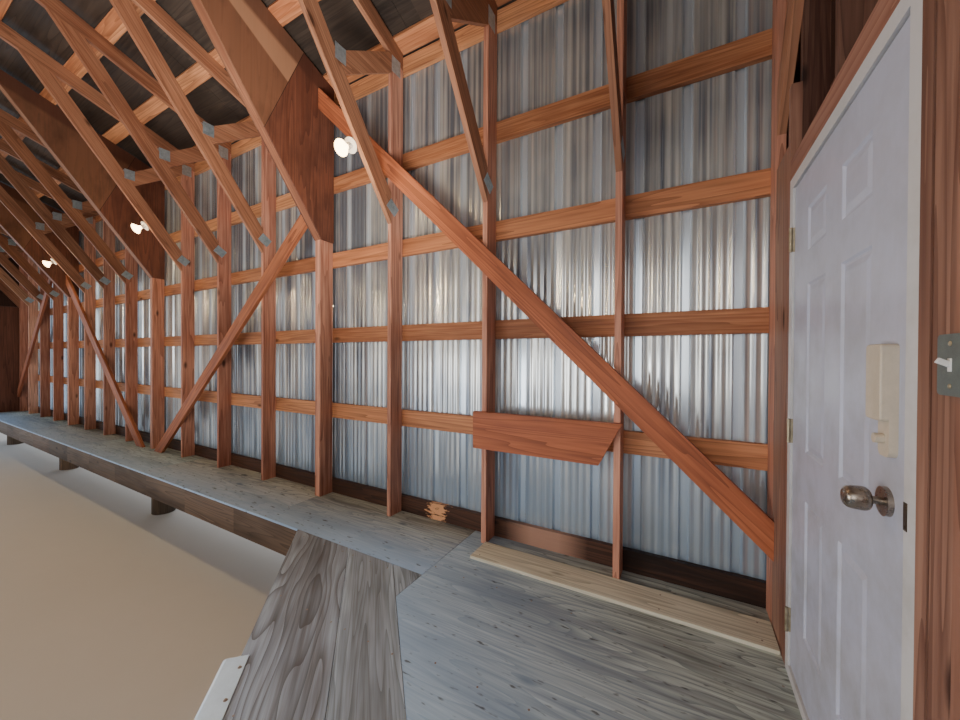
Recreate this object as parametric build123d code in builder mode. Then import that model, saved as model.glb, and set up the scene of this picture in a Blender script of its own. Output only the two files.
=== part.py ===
from build123d import *
from math import atan, atan2, cos, sin, tan
import os

# A post-frame boathouse over water, in millimetres, +Z up.
# X runs along the building: the land end with its door is at +X, the open water end at -X.
# Y runs across it, with the ridge above Y = 0. Z = 0 is the foot of the piles.

# Lumber and sheet stock
BOARD = 38               # thickness of every framing board
STUD_WIDTH = 89          # narrow boards: studs of the end walls
FRAME_WIDTH = 140        # posts, girts, rafters, knees, purlins, wall braces
BEAM_WIDTH = 235         # beams and joists under the deck, header over the water end
PLY = 12.5               # plywood skins
DECK_PLY = 19            # plywood of the deck
SHEET = 20               # depth of a ribbed metal sheet over its ribs
SEAT = 0.3               # clearance where a sloping cut meets another piece

# Plan
BAY = 914.4              # from frame to frame
BAYS = 14                # full bays between the two end bays
END_BAY = 769            # the shorter bay at each end
BAYS_TO_HEAVY = 4        # every fourth frame is doubled and skinned with plywood
HALF_WIDTH = 3000        # from the ridge line to the outer faces of the posts
END_OVERHANG = 150       # roof beyond the end walls
EAVE_OVERHANG = 90       # roof beyond the side sheets

# Heights
DECK_TOP = 650           # above the piles' feet
EAVE_HEIGHT = 3839       # deck to the underside of the rafters, at the posts' outer faces
ROOF_RISE = 4.5          # in 12
FIRST_GIRT = 817         # deck to the middle of the lowest girt
GIRT_PITCH = 745
GIRTS = 4                # below the top one
TOP_GIRT_LIFT = 48       # middle of the top girt above EAVE_HEIGHT
SILL_HEIGHT = 135

# Roof frames
KNEE_DROP = 1364         # EAVE_HEIGHT down to the lower tip of a knee, at the post
KNEE_REACH = 1362        # from the post to where the knee's underside meets the rafter
WEB_START = 981          # from the rafter end of the knee's back down to the web
PURLINS = 6              # on each side, evenly spaced
FIRST_PURLIN = -8        # from the rafter's end up to the lowest purlin
LAST_PURLIN = 194        # from the highest purlin to the ridge
ROOF_SKIN = PLY + SHEET  # plywood with ribbed sheets on it
CAP_WIDTH = 160          # ridge cap, on each side
CAP_THICK = 6

# Wall braces: places of the middles of their ends
HIGH_BRACE_DROP = 41     # EAVE_HEIGHT down to the high end, at a heavy frame
HIGH_BRACE_FOOT = 439    # deck to the low end, at the end wall's frame
LOW_BRACE_TOP = 2797     # deck to the high end, at a heavy frame
LOW_BRACE_RUN = 3306     # along the wall to the low end, on the deck

# Board nailed on two posts, to hang things from
RACK_BOTTOM = 695
RACK_WIDTH = 265
RACK_LEFT = -1333        # its corners along the wall, from the door end's eye point
RACK_RIGHT = -314
RACK_SLANT = 136         # how far its slanting end leans
EYE_TO_FRAME = 348       # from that point to the first frame of the full bays

# Deck
WALKWAY_WIDTH = 665      # from the posts' outer faces to the slip
END_DECK_DEPTH = 1810    # from the door wall to the slip
CORNER_LEG = 1220        # the corners of the slip are cut at 45 degrees
OUTER_PLANK = 400        # diagonal planks of a cut corner
INNER_PLANK = 288
PANEL_LENGTH = 2438.4    # plywood panels of the walkways
PANEL_GAP = 3
JOIST_PITCH = 610
JOIST_PLAY = 1           # between a joist's end and the beam it hangs from
END_JOISTS = 4           # joists on each side of the middle one under the end deck
PILE_RADIUS = 120
NEW_PLANK_WIDTH = 215
NEW_PLANK_THICK = 19
NEW_PLANK_LENGTH = 1640
PLANK_GAP = 5            # from the new plank to the posts and to the door wall's frame
GUARD_LENGTH = 450       # soft strip on the end of a cut corner's edge
GUARD_FLANGE = 35        # how far it lies on the deck
GUARD_THICK = 4
GUARD_REACH = 71         # how far it stands out from the edge
GUARD_DEPTH = 55
GUARD_ROUND = 18

# Door wall
DOOR_WIDTH = 914
DOOR_HEIGHT = 2032
DOOR_THICK = 44
DOOR_GAP = 5
DOOR_TO_POST = 332       # from the door's hinged edge to the posts' inner faces
THRESHOLD = 38
JAMB = 45
CASING_SETBACK = 8       # from the casing boards' inner faces to the door's
STOP_WIDTH = 12
HEADER_HEIGHT = 89
BOARD_GAP = 10           # between the two boards on the latch side
HINGE_BOARD_TOP = 2550   # deck to the top of the board next to the hinges
POST_BOARD_TOP = 2300    # deck to the top of the wide board next to the post
BOARD_PLAY = 2           # between boards beside the door
CRIPPLE_OFFSET = 99      # from the door's middle to the stud over it, towards the hinges
STUD_PLAY = 1            # under the purlins
WALL_SKIN = PLY + SHEET  # plywood with ribbed sheets outside

# Panels of the door, sunk in both faces
PANEL_SINK = 7
DOOR_STILE = 182
DOOR_PANEL = 208         # width of a panel
PANEL_ROWS = ((237, 533), (950, 650), (1720, 170))   # lower edge and height of each row

# Door furniture
KNOB_HEIGHT = 1028       # above the deck
KNOB_BACKSET = 86
KNOB_RADIUS = 27.3
KNOB_NECK = 9            # radius of the neck
KNOB_NECK_END = 28       # from the door's face to the grip
KNOB_MIDDLE = 52         # from the door's face to the grip's widest place
KNOB_LENGTH = 78         # from the door's face to the knob's end
ROSE_RADIUS = 33
ROSE_THICK = 10
LOCK_SETBACK = 41        # from the door's latch edge
LOCK_WIDTH = 75
LOCK_HEIGHT = 172
LOCK_DEPTH = 30
LOCK_CORNER = 10
LOCK_ROUND = 4           # radius along the edges of its front
LOCK_TOP = 1387          # above the deck
TURN_WIDTH = 52          # lower part of the lock, which holds the thumb turn
TURN_DROP = 80
TURN_DEPTH = 15
TURN_CORNER = 15
TURN_RADIUS = 11
TURN_LENGTH = 16
HINGE_HEIGHTS = (193, 1003, 1816)   # above the door's lower edge
HINGE_LENGTH = 102
PIN_RADIUS = 6
HINGE_PLATE = 2.2
HINGE_DEPTH = 30         # of the leaves, back from the door's face

# Switch box beside the door
BOX_WIDTH = 70
BOX_HEIGHT = 102
BOX_DEPTH = 20
BOX_CORNER = 8
BOX_BOTTOM = 1293        # above the deck
BOX_FROM_DOOR = 162      # from the door's latch edge

# Lamps: a round box on the side of a knee, with a cover plate and a wide bulb on it
LAMP_ON_KNEE = 612       # from the knee's foot, along it
LAMP_BOX_RADIUS = 50
LAMP_BOX_DEPTH = 54
LAMP_PLATE_RADIUS = 58
LAMP_PLATE = 6
LAMP_NECK = 21
LAMP_NECK_END = 52
LAMP_RADIUS = 61
LAMP_RIM = 22
LAMP_LENGTH = 133        # from the knee's lower edge to the bulb's face

# Places worked out from the sizes
slope = atan(ROOF_RISE / 12)
post_inner = HALF_WIDTH - FRAME_WIDTH
sheet_inner = HALF_WIDTH + BOARD
sheet_outer = sheet_inner + SHEET
eave = sheet_outer + EAVE_OVERHANG
last_frame = BAYS * BAY / 2 + END_BAY
inner_frames = [(i - BAYS / 2) * BAY for i in range(BAYS + 1)]
heavy_frames = [inner_frames[i] for i in range(BAYS_TO_HEAVY - 1, BAYS + 1, BAYS_TO_HEAVY)]
plain_frames = [x for x in inner_frames if x not in heavy_frames] + [-last_frame, last_frame]
all_frames = plain_frames + heavy_frames
frame_outer = last_frame + BOARD / 2
frame_inner = last_frame - BOARD / 2
stud_outer = frame_outer + STUD_WIDTH
wall_outer = stud_outer + WALL_SKIN
roof_end = wall_outer + END_OVERHANG
slip_edge = HALF_WIDTH - WALKWAY_WIDTH
end_deck_edge = frame_inner - END_DECK_DEPTH
beam_top = DECK_TOP - DECK_PLY
beam_bottom = beam_top - BEAM_WIDTH
heavy_half = BOARD + PLY
eave_z = DECK_TOP + EAVE_HEIGHT
girt_heights = [DECK_TOP + FIRST_GIRT + i * GIRT_PITCH for i in range(GIRTS)] + [eave_z + TOP_GIRT_LIFT]

LOW = Align.MIN
MID = Align.CENTER


def rafter_under(y):
    """Height of the rafters' underside at a distance y from the ridge line."""
    return eave_z + (HALF_WIDTH - y) * tan(slope)


def above_rafter(y, lift):
    """Height at y of the plane that lies lift above the rafters' underside, square to it."""
    return rafter_under(y) + lift / cos(slope)


def slab(low, high):
    """Add a box from its lowest to its highest corner."""
    size = [b - a for a, b in zip(low, high)]
    with Locations(tuple(low)):
        Box(*size, align=(LOW, LOW, LOW))


def across(points, x, thickness):
    """Add a plate with this outline of (y, z) points, from x towards +X."""
    with BuildSketch(Plane.YZ.offset(x)) as face:
        with BuildLine():
            Polyline(*points, close=True)
        make_face()
    extrude(face.sketch, amount=thickness)


def along(points, y, thickness):
    """Add a plate with this outline of (x, z) points, from y towards +Y."""
    with BuildSketch(Plane.XZ.offset(-y - thickness)) as face:
        with BuildLine():
            Polyline(*points, close=True)
        make_face()
    extrude(face.sketch, amount=thickness)


def level(points, z, thickness):
    """Add a plate with this outline of (x, y) points, from z upwards."""
    with BuildSketch(Plane.XY.offset(z)) as face:
        with BuildLine():
            Polyline(*points, close=True)
        make_face()
    extrude(face.sketch, amount=thickness)


def save(part, label):
    part.label = label
    export_step(part, f"parts/{label}.step")


os.makedirs("parts", exist_ok=True)

# Piles under both walkways and under the end deck
pile_rows = [inner_frames[i] for i in range(0, BAYS - 1, BAYS_TO_HEAVY)]
side_pile_y = HALF_WIDTH - WALKWAY_WIDTH / 2
with BuildPart() as piles:
    for x in pile_rows:
        for y in (-side_pile_y, side_pile_y):
            with Locations((x, y, 0)):
                Cylinder(PILE_RADIUS, beam_bottom, align=(MID, MID, LOW))
    for x in (end_deck_edge + 2 * BOARD + PILE_RADIUS, last_frame - PILE_RADIUS):
        for i in (-END_JOISTS, -1, 1, END_JOISTS):
            with Locations((x, i * JOIST_PITCH, 0)):
                Cylinder(PILE_RADIUS, beam_bottom, align=(MID, MID, LOW))
save(piles.part, "piles")

# Beams and joists of the walkways: a long beam on each edge, joists between
with BuildPart() as walkway_beams:
    for y in (slip_edge, HALF_WIDTH):
        slab((-stud_outer, y, beam_bottom), (end_deck_edge, y + BOARD, beam_top))
    for x in [x for x in inner_frames if x + BOARD < end_deck_edge]:
        slab((x - BOARD / 2, slip_edge + BOARD + JOIST_PLAY, beam_bottom),
             (x + BOARD / 2, HALF_WIDTH - JOIST_PLAY, beam_top))
    mirror(walkway_beams.part, about=Plane.XZ)
save(walkway_beams.part, "walkway_beams")

# Beams of the end deck: two across the building and joists between, with one under each cut corner
joist_start = end_deck_edge + BOARD + JOIST_PLAY
joist_end = stud_outer - BOARD - JOIST_PLAY
corner_x = end_deck_edge - CORNER_LEG
with BuildPart() as end_deck_beams:
    for x in (end_deck_edge, stud_outer - BOARD):
        slab((x, -sheet_inner, beam_bottom), (x + BOARD, sheet_inner, beam_top))
    for i in range(-END_JOISTS, END_JOISTS + 1):
        y = i * JOIST_PITCH
        slab((joist_start, y - BOARD / 2, beam_bottom), (joist_end, y + BOARD / 2, beam_top))
save(end_deck_beams.part, "end_deck_beams")

# A beam along each cut corner of the slip, and ledgers under the corner's other two edges
corner_back = BOARD * 2 ** 0.5
ledger_start = BOARD + corner_back + PANEL_GAP
with BuildPart() as corner_beams:
    level([(corner_x, slip_edge),
           (end_deck_edge, slip_edge - CORNER_LEG),
           (end_deck_edge, slip_edge - CORNER_LEG + corner_back),
           (corner_x + corner_back, slip_edge)], beam_bottom, BEAM_WIDTH)
    slab((corner_x + ledger_start, slip_edge - BOARD, beam_top - STUD_WIDTH),
         (end_deck_edge - BOARD - JOIST_PLAY, slip_edge, beam_top))
    slab((end_deck_edge - BOARD, slip_edge - CORNER_LEG + ledger_start, beam_top - STUD_WIDTH),
         (end_deck_edge, slip_edge, beam_top))
    mirror(corner_beams.part, about=Plane.XZ)
save(corner_beams.part, "corner_beams")

# Plywood panels of the walkways
panels = int((end_deck_edge + frame_outer) / PANEL_LENGTH) + 1
with BuildPart() as walkways:
    for i in range(panels):
        high_x = end_deck_edge - i * PANEL_LENGTH - PANEL_GAP
        low_x = max(high_x - PANEL_LENGTH + PANEL_GAP, -stud_outer)
        slab((low_x, slip_edge, beam_top), (high_x, sheet_inner, DECK_TOP))
    mirror(walkways.part, about=Plane.XZ)
save(walkways.part, "walkways")

# Seams of the cut corners, each given by the sum of x and y along it
corner_out = slip_edge - PANEL_GAP
corner_in = end_deck_edge - PANEL_GAP
panel_y = PANEL_LENGTH / 2
plank_end = panel_y + PANEL_GAP / 2
outer_edge = corner_x + corner_out
outer_seam = outer_edge + OUTER_PLANK * 2 ** 0.5
inner_edge = outer_seam + PANEL_GAP * 2 ** 0.5
inner_seam = inner_edge + INNER_PLANK * 2 ** 0.5
panel_edge = inner_seam + PANEL_GAP * 2 ** 0.5

# Plywood of the end deck: a middle panel, and one at each side with a corner cut off
with BuildPart() as end_deck:
    level([(panel_edge - plank_end, plank_end),
           (stud_outer, plank_end),
           (stud_outer, sheet_inner - PANEL_GAP / 2),
           (end_deck_edge, sheet_inner - PANEL_GAP / 2),
           (end_deck_edge, panel_edge - end_deck_edge)], beam_top, DECK_PLY)
    mirror(end_deck.part, about=Plane.XZ)
    slab((end_deck_edge, PANEL_GAP / 2 - panel_y, beam_top),
         (stud_outer, panel_y - PANEL_GAP / 2, DECK_TOP))
save(end_deck.part, "end_deck")

# Diagonal planks of the cut corners, and the piece of plywood behind them
with BuildPart() as corner_planks:
    level([(corner_x, corner_out),
           (corner_in, outer_edge - corner_in),
           (corner_in, plank_end),
           (outer_seam - plank_end, plank_end),
           (outer_seam - corner_out, corner_out)], beam_top, DECK_PLY)
    level([(inner_edge - corner_out, corner_out),
           (inner_edge - plank_end, plank_end),
           (inner_seam - plank_end, plank_end),
           (inner_seam - corner_out, corner_out)], beam_top, DECK_PLY)
    level([(panel_edge - corner_out, corner_out),
           (corner_in, panel_edge - corner_in),
           (corner_in, corner_out)], beam_top, DECK_PLY)
    mirror(corner_planks.part, about=Plane.XZ)
save(corner_planks.part, "corner_planks")

# A newer plank that lies along the wall next to the door
with BuildPart() as new_plank:
    plank_end = frame_inner - PLANK_GAP
    plank_edge = post_inner - PLANK_GAP
    slab((plank_end - NEW_PLANK_LENGTH, plank_edge - NEW_PLANK_WIDTH, DECK_TOP),
         (plank_end, plank_edge, DECK_TOP + NEW_PLANK_THICK))
save(new_plank.part, "new_plank")

# Soft guard strips at the lower ends of the cut corners' edges
with BuildPart() as slip_guard:
    guard_end = Plane(origin=(corner_in, outer_edge - corner_in, DECK_TOP),
                      x_dir=(-1, -1, 0), z_dir=(-1, 1, 0))
    with BuildSketch(guard_end) as guard_face:
        with BuildLine():
            Polyline((-GUARD_FLANGE, 0), (0, 0), (0, GUARD_THICK - GUARD_DEPTH),
                     (GUARD_REACH, GUARD_THICK - GUARD_DEPTH), (GUARD_REACH, GUARD_THICK),
                     (-GUARD_FLANGE, GUARD_THICK), close=True)
        make_face()
        fillet(guard_face.vertices().group_by(Axis.X)[-1], radius=GUARD_ROUND)
    extrude(guard_face.sketch, amount=GUARD_LENGTH)
    mirror(slip_guard.part, about=Plane.XZ)
save(slip_guard.part, "slip_guard")

# Sills at the foot of the side walls
with BuildPart() as sills:
    slab((-frame_outer, HALF_WIDTH, DECK_TOP), (frame_outer, sheet_inner, DECK_TOP + SILL_HEIGHT))
    mirror(sills.part, about=Plane.XZ)
save(sills.part, "sills")


def post_outline():
    """Outline of a post in (y, z), cut to the slope of the rafter on it."""
    return [(post_inner, DECK_TOP), (HALF_WIDTH, DECK_TOP),
            (HALF_WIDTH, rafter_under(HALF_WIDTH)), (post_inner, rafter_under(post_inner))]


# Posts of one board, and doubled ones under the heavy frames
with BuildPart() as posts:
    for x in plain_frames:
        across(post_outline(), x - BOARD / 2, BOARD)
    mirror(posts.part, about=Plane.XZ)
save(posts.part, "posts")

with BuildPart() as heavy_posts:
    for x in heavy_frames:
        across(post_outline(), x - BOARD, 2 * BOARD)
    mirror(heavy_posts.part, about=Plane.XZ)
save(heavy_posts.part, "heavy_posts")

# Girts, nailed flat on the outer faces of the posts
with BuildPart() as girts_right:
    for middle in girt_heights:
        slab((-frame_outer, HALF_WIDTH, middle - FRAME_WIDTH / 2),
             (frame_outer, sheet_inner, middle + FRAME_WIDTH / 2))
save(girts_right.part, "girts_right")

with BuildPart() as girts_left:
    mirror(girts_right.part, about=Plane.XZ)
save(girts_left.part, "girts_left")

# Ribbed sheets of the side walls, from below the deck to the top girt
sheet_bottom = beam_top - BEAM_WIDTH / 2
sheet_top = girt_heights[-1] + FRAME_WIDTH / 2
with BuildPart() as wall_sheets_right:
    slab((-wall_outer, sheet_inner, sheet_bottom), (wall_outer, sheet_outer, sheet_top))
save(wall_sheets_right.part, "wall_sheets_right")

with BuildPart() as wall_sheets_left:
    mirror(wall_sheets_right.part, about=Plane.XZ)
save(wall_sheets_left.part, "wall_sheets_left")


def high_brace(x_top, x_foot):
    """Outline in (x, z) of a brace between two plumb cuts, from a heavy frame to the end wall's frame."""
    z_top = eave_z - HIGH_BRACE_DROP
    z_foot = DECK_TOP + HIGH_BRACE_FOOT
    half = FRAME_WIDTH / 2 / cos(atan2(z_top - z_foot, abs(x_top - x_foot)))
    return [(x_top, z_top - half), (x_top, z_top + half), (x_foot, z_foot + half), (x_foot, z_foot - half)]


def low_brace(x_top, side):
    """Outline in (x, z) of a brace from a plumb cut at a heavy frame to a level cut on the deck."""
    tilt = atan2(LOW_BRACE_TOP, LOW_BRACE_RUN)
    z_top = DECK_TOP + LOW_BRACE_TOP
    half = FRAME_WIDTH / 2 / cos(tilt)
    foot_half = FRAME_WIDTH / 2 / sin(tilt)
    x_foot = x_top - side * LOW_BRACE_RUN
    return [(x_top, z_top - half), (x_top, z_top + half),
            (x_foot - side * foot_half, DECK_TOP), (x_foot + side * foot_half, DECK_TOP)]


# Diagonal braces on the inner faces of the posts: high ones at the ends, low ones between
heavy_face = heavy_half + SEAT
with BuildPart() as wall_braces:
    for side in (-1, 1):
        end_heavy = side * heavy_frames[-1]
        along(high_brace(end_heavy + side * heavy_face, side * frame_inner), post_inner - BOARD, BOARD)
        along(low_brace(end_heavy - side * heavy_face, side), post_inner - BOARD, BOARD)
    mirror(wall_braces.part, about=Plane.XZ)
save(wall_braces.part, "wall_braces")

# Board with a slanting end, nailed across two posts
eye_x = inner_frames[-1] + EYE_TO_FRAME
with BuildPart() as rack_board:
    rack_z = DECK_TOP + RACK_BOTTOM
    along([(eye_x + RACK_LEFT, rack_z), (eye_x + RACK_RIGHT - RACK_SLANT, rack_z),
           (eye_x + RACK_RIGHT, rack_z + RACK_WIDTH), (eye_x + RACK_LEFT, rack_z + RACK_WIDTH)],
          post_inner - BOARD, BOARD)
save(rack_board.part, "rack_board")


def rafter_outline():
    """Outline of a rafter in (y, z), from its plumb cut at the ridge to the one at the wall."""
    return [(0, rafter_under(0)), (HALF_WIDTH, rafter_under(HALF_WIDTH)),
            (HALF_WIDTH, above_rafter(HALF_WIDTH, FRAME_WIDTH)), (0, above_rafter(0, FRAME_WIDTH))]


with BuildPart() as rafters_right:
    for x in all_frames:
        half = BOARD if x in heavy_frames else BOARD / 2
        across(rafter_outline(), x - half, 2 * half)
save(rafters_right.part, "rafters_right")

with BuildPart() as rafters_left:
    mirror(rafters_right.part, about=Plane.XZ)
save(rafters_left.part, "rafters_left")

# Knees: the lower edge runs from the post to the rafter, the back lies FRAME_WIDTH behind it
knee_foot = (post_inner, eave_z - KNEE_DROP)
knee_head = (post_inner - KNEE_REACH, rafter_under(post_inner - KNEE_REACH))
knee_angle = atan2(knee_head[1] - knee_foot[1], knee_foot[0] - knee_head[0])
knee_rise = FRAME_WIDTH / cos(knee_angle)

# Where the knee's back meets the rafter's underside
back_y = knee_head[0] + knee_rise / (tan(knee_angle) - tan(slope))
with BuildPart() as knees:
    for x in all_frames:
        half = BOARD if x in heavy_frames else BOARD / 2
        across([knee_foot, (post_inner, knee_foot[1] + knee_rise),
                (back_y, rafter_under(back_y)), knee_head], x - half, 2 * half)
    mirror(knees.part, about=Plane.XZ)
save(knees.part, "knees")

# Webs square to the knees, from the knee's back up to the heel of the rafter
web_low = (back_y + (WEB_START + FRAME_WIDTH) * cos(knee_angle),
           rafter_under(back_y) - (WEB_START + FRAME_WIDTH) * sin(knee_angle))
web_high = (back_y + WEB_START * cos(knee_angle), rafter_under(back_y) - WEB_START * sin(knee_angle))
web_slope = 1 / tan(knee_angle)
web_top_y = web_high[0] + (rafter_under(web_high[0]) - web_high[1]) / (web_slope + tan(slope))
with BuildPart() as heel_webs:
    for x in plain_frames:
        across([web_low, (post_inner, web_low[1] + (post_inner - web_low[0]) * web_slope),
                (post_inner, rafter_under(post_inner)),
                (web_top_y, rafter_under(web_top_y)), web_high], x - BOARD / 2, BOARD)
    mirror(heel_webs.part, about=Plane.XZ)
save(heel_webs.part, "heel_webs")

# Plywood skins on both faces of the heavy frames, from the post to beyond the knee
skin_low = knee_foot[1]
with BuildPart() as haunch_plywood:
    for x in heavy_frames:
        for face_x in (x - BOARD - PLY, x + BOARD):
            across([(HALF_WIDTH, skin_low), (HALF_WIDTH, above_rafter(HALF_WIDTH, FRAME_WIDTH)),
                    (knee_head[0], above_rafter(knee_head[0], FRAME_WIDTH)), knee_head,
                    (post_inner, skin_low)], face_x, PLY)
    mirror(haunch_plywood.part, about=Plane.XZ)
save(haunch_plywood.part, "haunch_plywood")

# Purlins, flat on the rafters
purlin_space = HALF_WIDTH / cos(slope) - FIRST_PURLIN - LAST_PURLIN - FRAME_WIDTH
with BuildPart() as purlins:
    for i in range(PURLINS):
        outer = HALF_WIDTH - (FIRST_PURLIN + i * purlin_space / (PURLINS - 1)) * cos(slope)
        run = FRAME_WIDTH * cos(slope)
        lean = BOARD * sin(slope)
        top = FRAME_WIDTH + BOARD
        across([(outer, above_rafter(outer, FRAME_WIDTH)),
                (outer + lean, above_rafter(outer + lean, top)),
                (outer - run + lean, above_rafter(outer - run + lean, top)),
                (outer - run, above_rafter(outer - run, FRAME_WIDTH))],
               -wall_outer, 2 * wall_outer)
    mirror(purlins.part, about=Plane.XZ)
save(purlins.part, "purlins")

# Roof skins over the purlins
skin_under = FRAME_WIDTH + BOARD
skin_top = skin_under + ROOF_SKIN
with BuildPart() as roof_right:
    across([(0, above_rafter(0, skin_under)), (eave, above_rafter(eave, skin_under)),
            (eave, above_rafter(eave, skin_top)), (0, above_rafter(0, skin_top))],
           -roof_end, 2 * roof_end)
save(roof_right.part, "roof_right")

with BuildPart() as roof_left:
    mirror(roof_right.part, about=Plane.XZ)
save(roof_left.part, "roof_left")

# Ridge cap, a bent strip on both slopes
with BuildPart() as ridge_cap:
    cap = [(CAP_WIDTH, above_rafter(CAP_WIDTH, skin_top)),
           (CAP_WIDTH, above_rafter(CAP_WIDTH, skin_top + CAP_THICK)),
           (0, above_rafter(0, skin_top + CAP_THICK)),
           (-CAP_WIDTH, above_rafter(CAP_WIDTH, skin_top + CAP_THICK)),
           (-CAP_WIDTH, above_rafter(CAP_WIDTH, skin_top)),
           (0, above_rafter(0, skin_top))]
    across(cap, -roof_end, 2 * roof_end)
save(ridge_cap.part, "ridge_cap")

# Door opening in the +X wall
door_low = DECK_TOP + THRESHOLD + DOOR_GAP
door_high = door_low + DOOR_HEIGHT
hinge_edge = post_inner - DOOR_TO_POST
latch_edge = hinge_edge - DOOR_WIDTH
door_mid = (latch_edge + hinge_edge) / 2
door_face = frame_inner + CASING_SETBACK
frame_hinge = hinge_edge + DOOR_GAP
frame_latch = latch_edge - DOOR_GAP
frame_head = door_high + DOOR_GAP
rough_hinge = frame_hinge + JAMB
rough_latch = frame_latch - JAMB
rough_head = frame_head + JAMB

# Studs of both end walls: beside and above the doorway, and in the gable over the water
end_studs = [i * JOIST_PITCH for i in range(-END_JOISTS, END_JOISTS + 1)]
door_wall_studs = [y for y in end_studs if y < rough_latch - 2 * BOARD] + [HALF_WIDTH - BOARD]
corner_studs = (-HALF_WIDTH + BOARD, HALF_WIDTH - BOARD)


def gable_top(y):
    """Height of the top of an end wall at y."""
    return above_rafter(abs(y), FRAME_WIDTH)


def stud(x_low, y, z_low):
    """Add an upright stud with its top cut to the roof's slope."""
    y0 = y - BOARD / 2
    y1 = y + BOARD / 2
    across([(y0, z_low), (y1, z_low), (y1, gable_top(y1) - STUD_PLAY), (y0, gable_top(y0) - STUD_PLAY)],
           x_low, STUD_WIDTH)


with BuildPart() as gable_studs:
    for y in door_wall_studs + [corner_studs[0], rough_latch - BOARD / 2, rough_hinge + BOARD / 2]:
        stud(frame_outer, y, DECK_TOP)
    stud(frame_outer, door_mid + CRIPPLE_OFFSET, rough_head + BOARD)
    for y in end_studs:
        if abs(y) < slip_edge:
            stud(-stud_outer, y, eave_z)
    for y in corner_studs + (-slip_edge - BOARD / 2, slip_edge + BOARD / 2):
        stud(-stud_outer, y, DECK_TOP)
save(gable_studs.part, "gable_studs")

wall_low = beam_bottom


def end_panel(y0, y1, z_low, x_low):
    """Add a piece of an end wall between y0 and y1, with its top under the roof."""
    points = [(y0, z_low), (y1, z_low), (y1, gable_top(y1))]
    if y0 < 0 < y1:
        points.append((0, gable_top(0)))
    points.append((y0, gable_top(y0)))
    across(points, x_low, WALL_SKIN)


# Door wall, split beside and over the doorway
with BuildPart() as door_wall_right:
    end_panel(rough_hinge, sheet_inner, wall_low, stud_outer)
save(door_wall_right.part, "door_wall_right")

with BuildPart() as door_wall_left:
    end_panel(-sheet_inner, rough_latch, wall_low, stud_outer)
save(door_wall_left.part, "door_wall_left")

with BuildPart() as door_wall_top:
    across([(rough_latch, rough_head), (rough_hinge, rough_head),
            (rough_hinge, gable_top(rough_hinge)), (rough_latch, gable_top(rough_latch))],
           stud_outer, WALL_SKIN)
save(door_wall_top.part, "door_wall_top")

# Boards beside the door, in line with the end frame, and the header on them
latch_board = rough_latch - BOARD
wide_board = latch_board - BOARD_GAP
board_tops = [(rough_hinge, rough_hinge + BOARD, DECK_TOP + HINGE_BOARD_TOP),
              (rough_hinge + BOARD + BOARD_PLAY, post_inner - BOARD_PLAY, DECK_TOP + POST_BOARD_TOP),
              (latch_board, rough_latch, rough_head),
              (wide_board - FRAME_WIDTH, wide_board, rough_head)]
with BuildPart() as door_boards:
    for y0, y1, top in board_tops:
        slab((frame_inner, y0, DECK_TOP), (frame_outer, y1, top))
save(door_boards.part, "door_boards")

with BuildPart() as door_header:
    slab((frame_inner, wide_board - FRAME_WIDTH, rough_head),
         (frame_outer, rough_hinge - BOARD_PLAY, rough_head + HEADER_HEIGHT))
save(door_header.part, "door_header")

# Door frame: jambs, head and threshold in one ring, with a stop behind the door
with BuildPart() as door_frame:
    slab((frame_inner, rough_latch, DECK_TOP), (wall_outer, rough_hinge, rough_head))
    with Locations((frame_inner, frame_latch, DECK_TOP + THRESHOLD)):
        Box(DOOR_THICK + CASING_SETBACK + DOOR_GAP, frame_hinge - frame_latch,
            frame_head - DECK_TOP - THRESHOLD, align=(LOW, LOW, LOW), mode=Mode.SUBTRACT)
    with Locations((frame_inner, frame_latch + STOP_WIDTH, DECK_TOP + THRESHOLD)):
        Box(wall_outer - frame_inner, frame_hinge - frame_latch - 2 * STOP_WIDTH,
            frame_head - DECK_TOP - THRESHOLD - STOP_WIDTH, align=(LOW, LOW, LOW), mode=Mode.SUBTRACT)
save(door_frame.part, "door_frame")

# Door leaf with six panels sunk in both faces
with BuildPart() as door_leaf:
    slab((door_face, latch_edge, door_low), (door_face + DOOR_THICK, hinge_edge, door_high))
    for row_low, row_height in PANEL_ROWS:
        for y in (latch_edge + DOOR_STILE, hinge_edge - DOOR_STILE - DOOR_PANEL):
            for x in (door_face, door_face + DOOR_THICK - PANEL_SINK):
                with Locations((x, y, door_low + row_low)):
                    Box(PANEL_SINK, DOOR_PANEL, row_height, align=(LOW, LOW, LOW),
                        mode=Mode.SUBTRACT)
save(door_leaf.part, "door_leaf")

# Knobs on both faces, each a rose, a neck and an egg-shaped grip, turned about one axis
knob_y = latch_edge + KNOB_BACKSET
knob_z = DECK_TOP + KNOB_HEIGHT
with BuildPart() as door_knobs:
    for start, direction in ((door_face, -1), (door_face + DOOR_THICK, 1)):
        turning = Plane(origin=(start, knob_y, knob_z), x_dir=(0, 1, 0), z_dir=(0, 0, -direction))
        with BuildSketch(turning) as half_section:
            with BuildLine():
                Polyline((0, KNOB_LENGTH), (0, 0), (ROSE_RADIUS, 0), (ROSE_RADIUS, ROSE_THICK),
                         (KNOB_NECK, ROSE_THICK), (KNOB_NECK, KNOB_NECK_END))
                Spline((KNOB_NECK, KNOB_NECK_END), (KNOB_RADIUS, KNOB_MIDDLE), (0, KNOB_LENGTH),
                       tangents=((1, 0), (-1, 0)))
            make_face()
        revolve(half_section.sketch, axis=Axis((start, knob_y, knob_z), (direction, 0, 0)))
save(door_knobs.part, "door_knobs")

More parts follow.
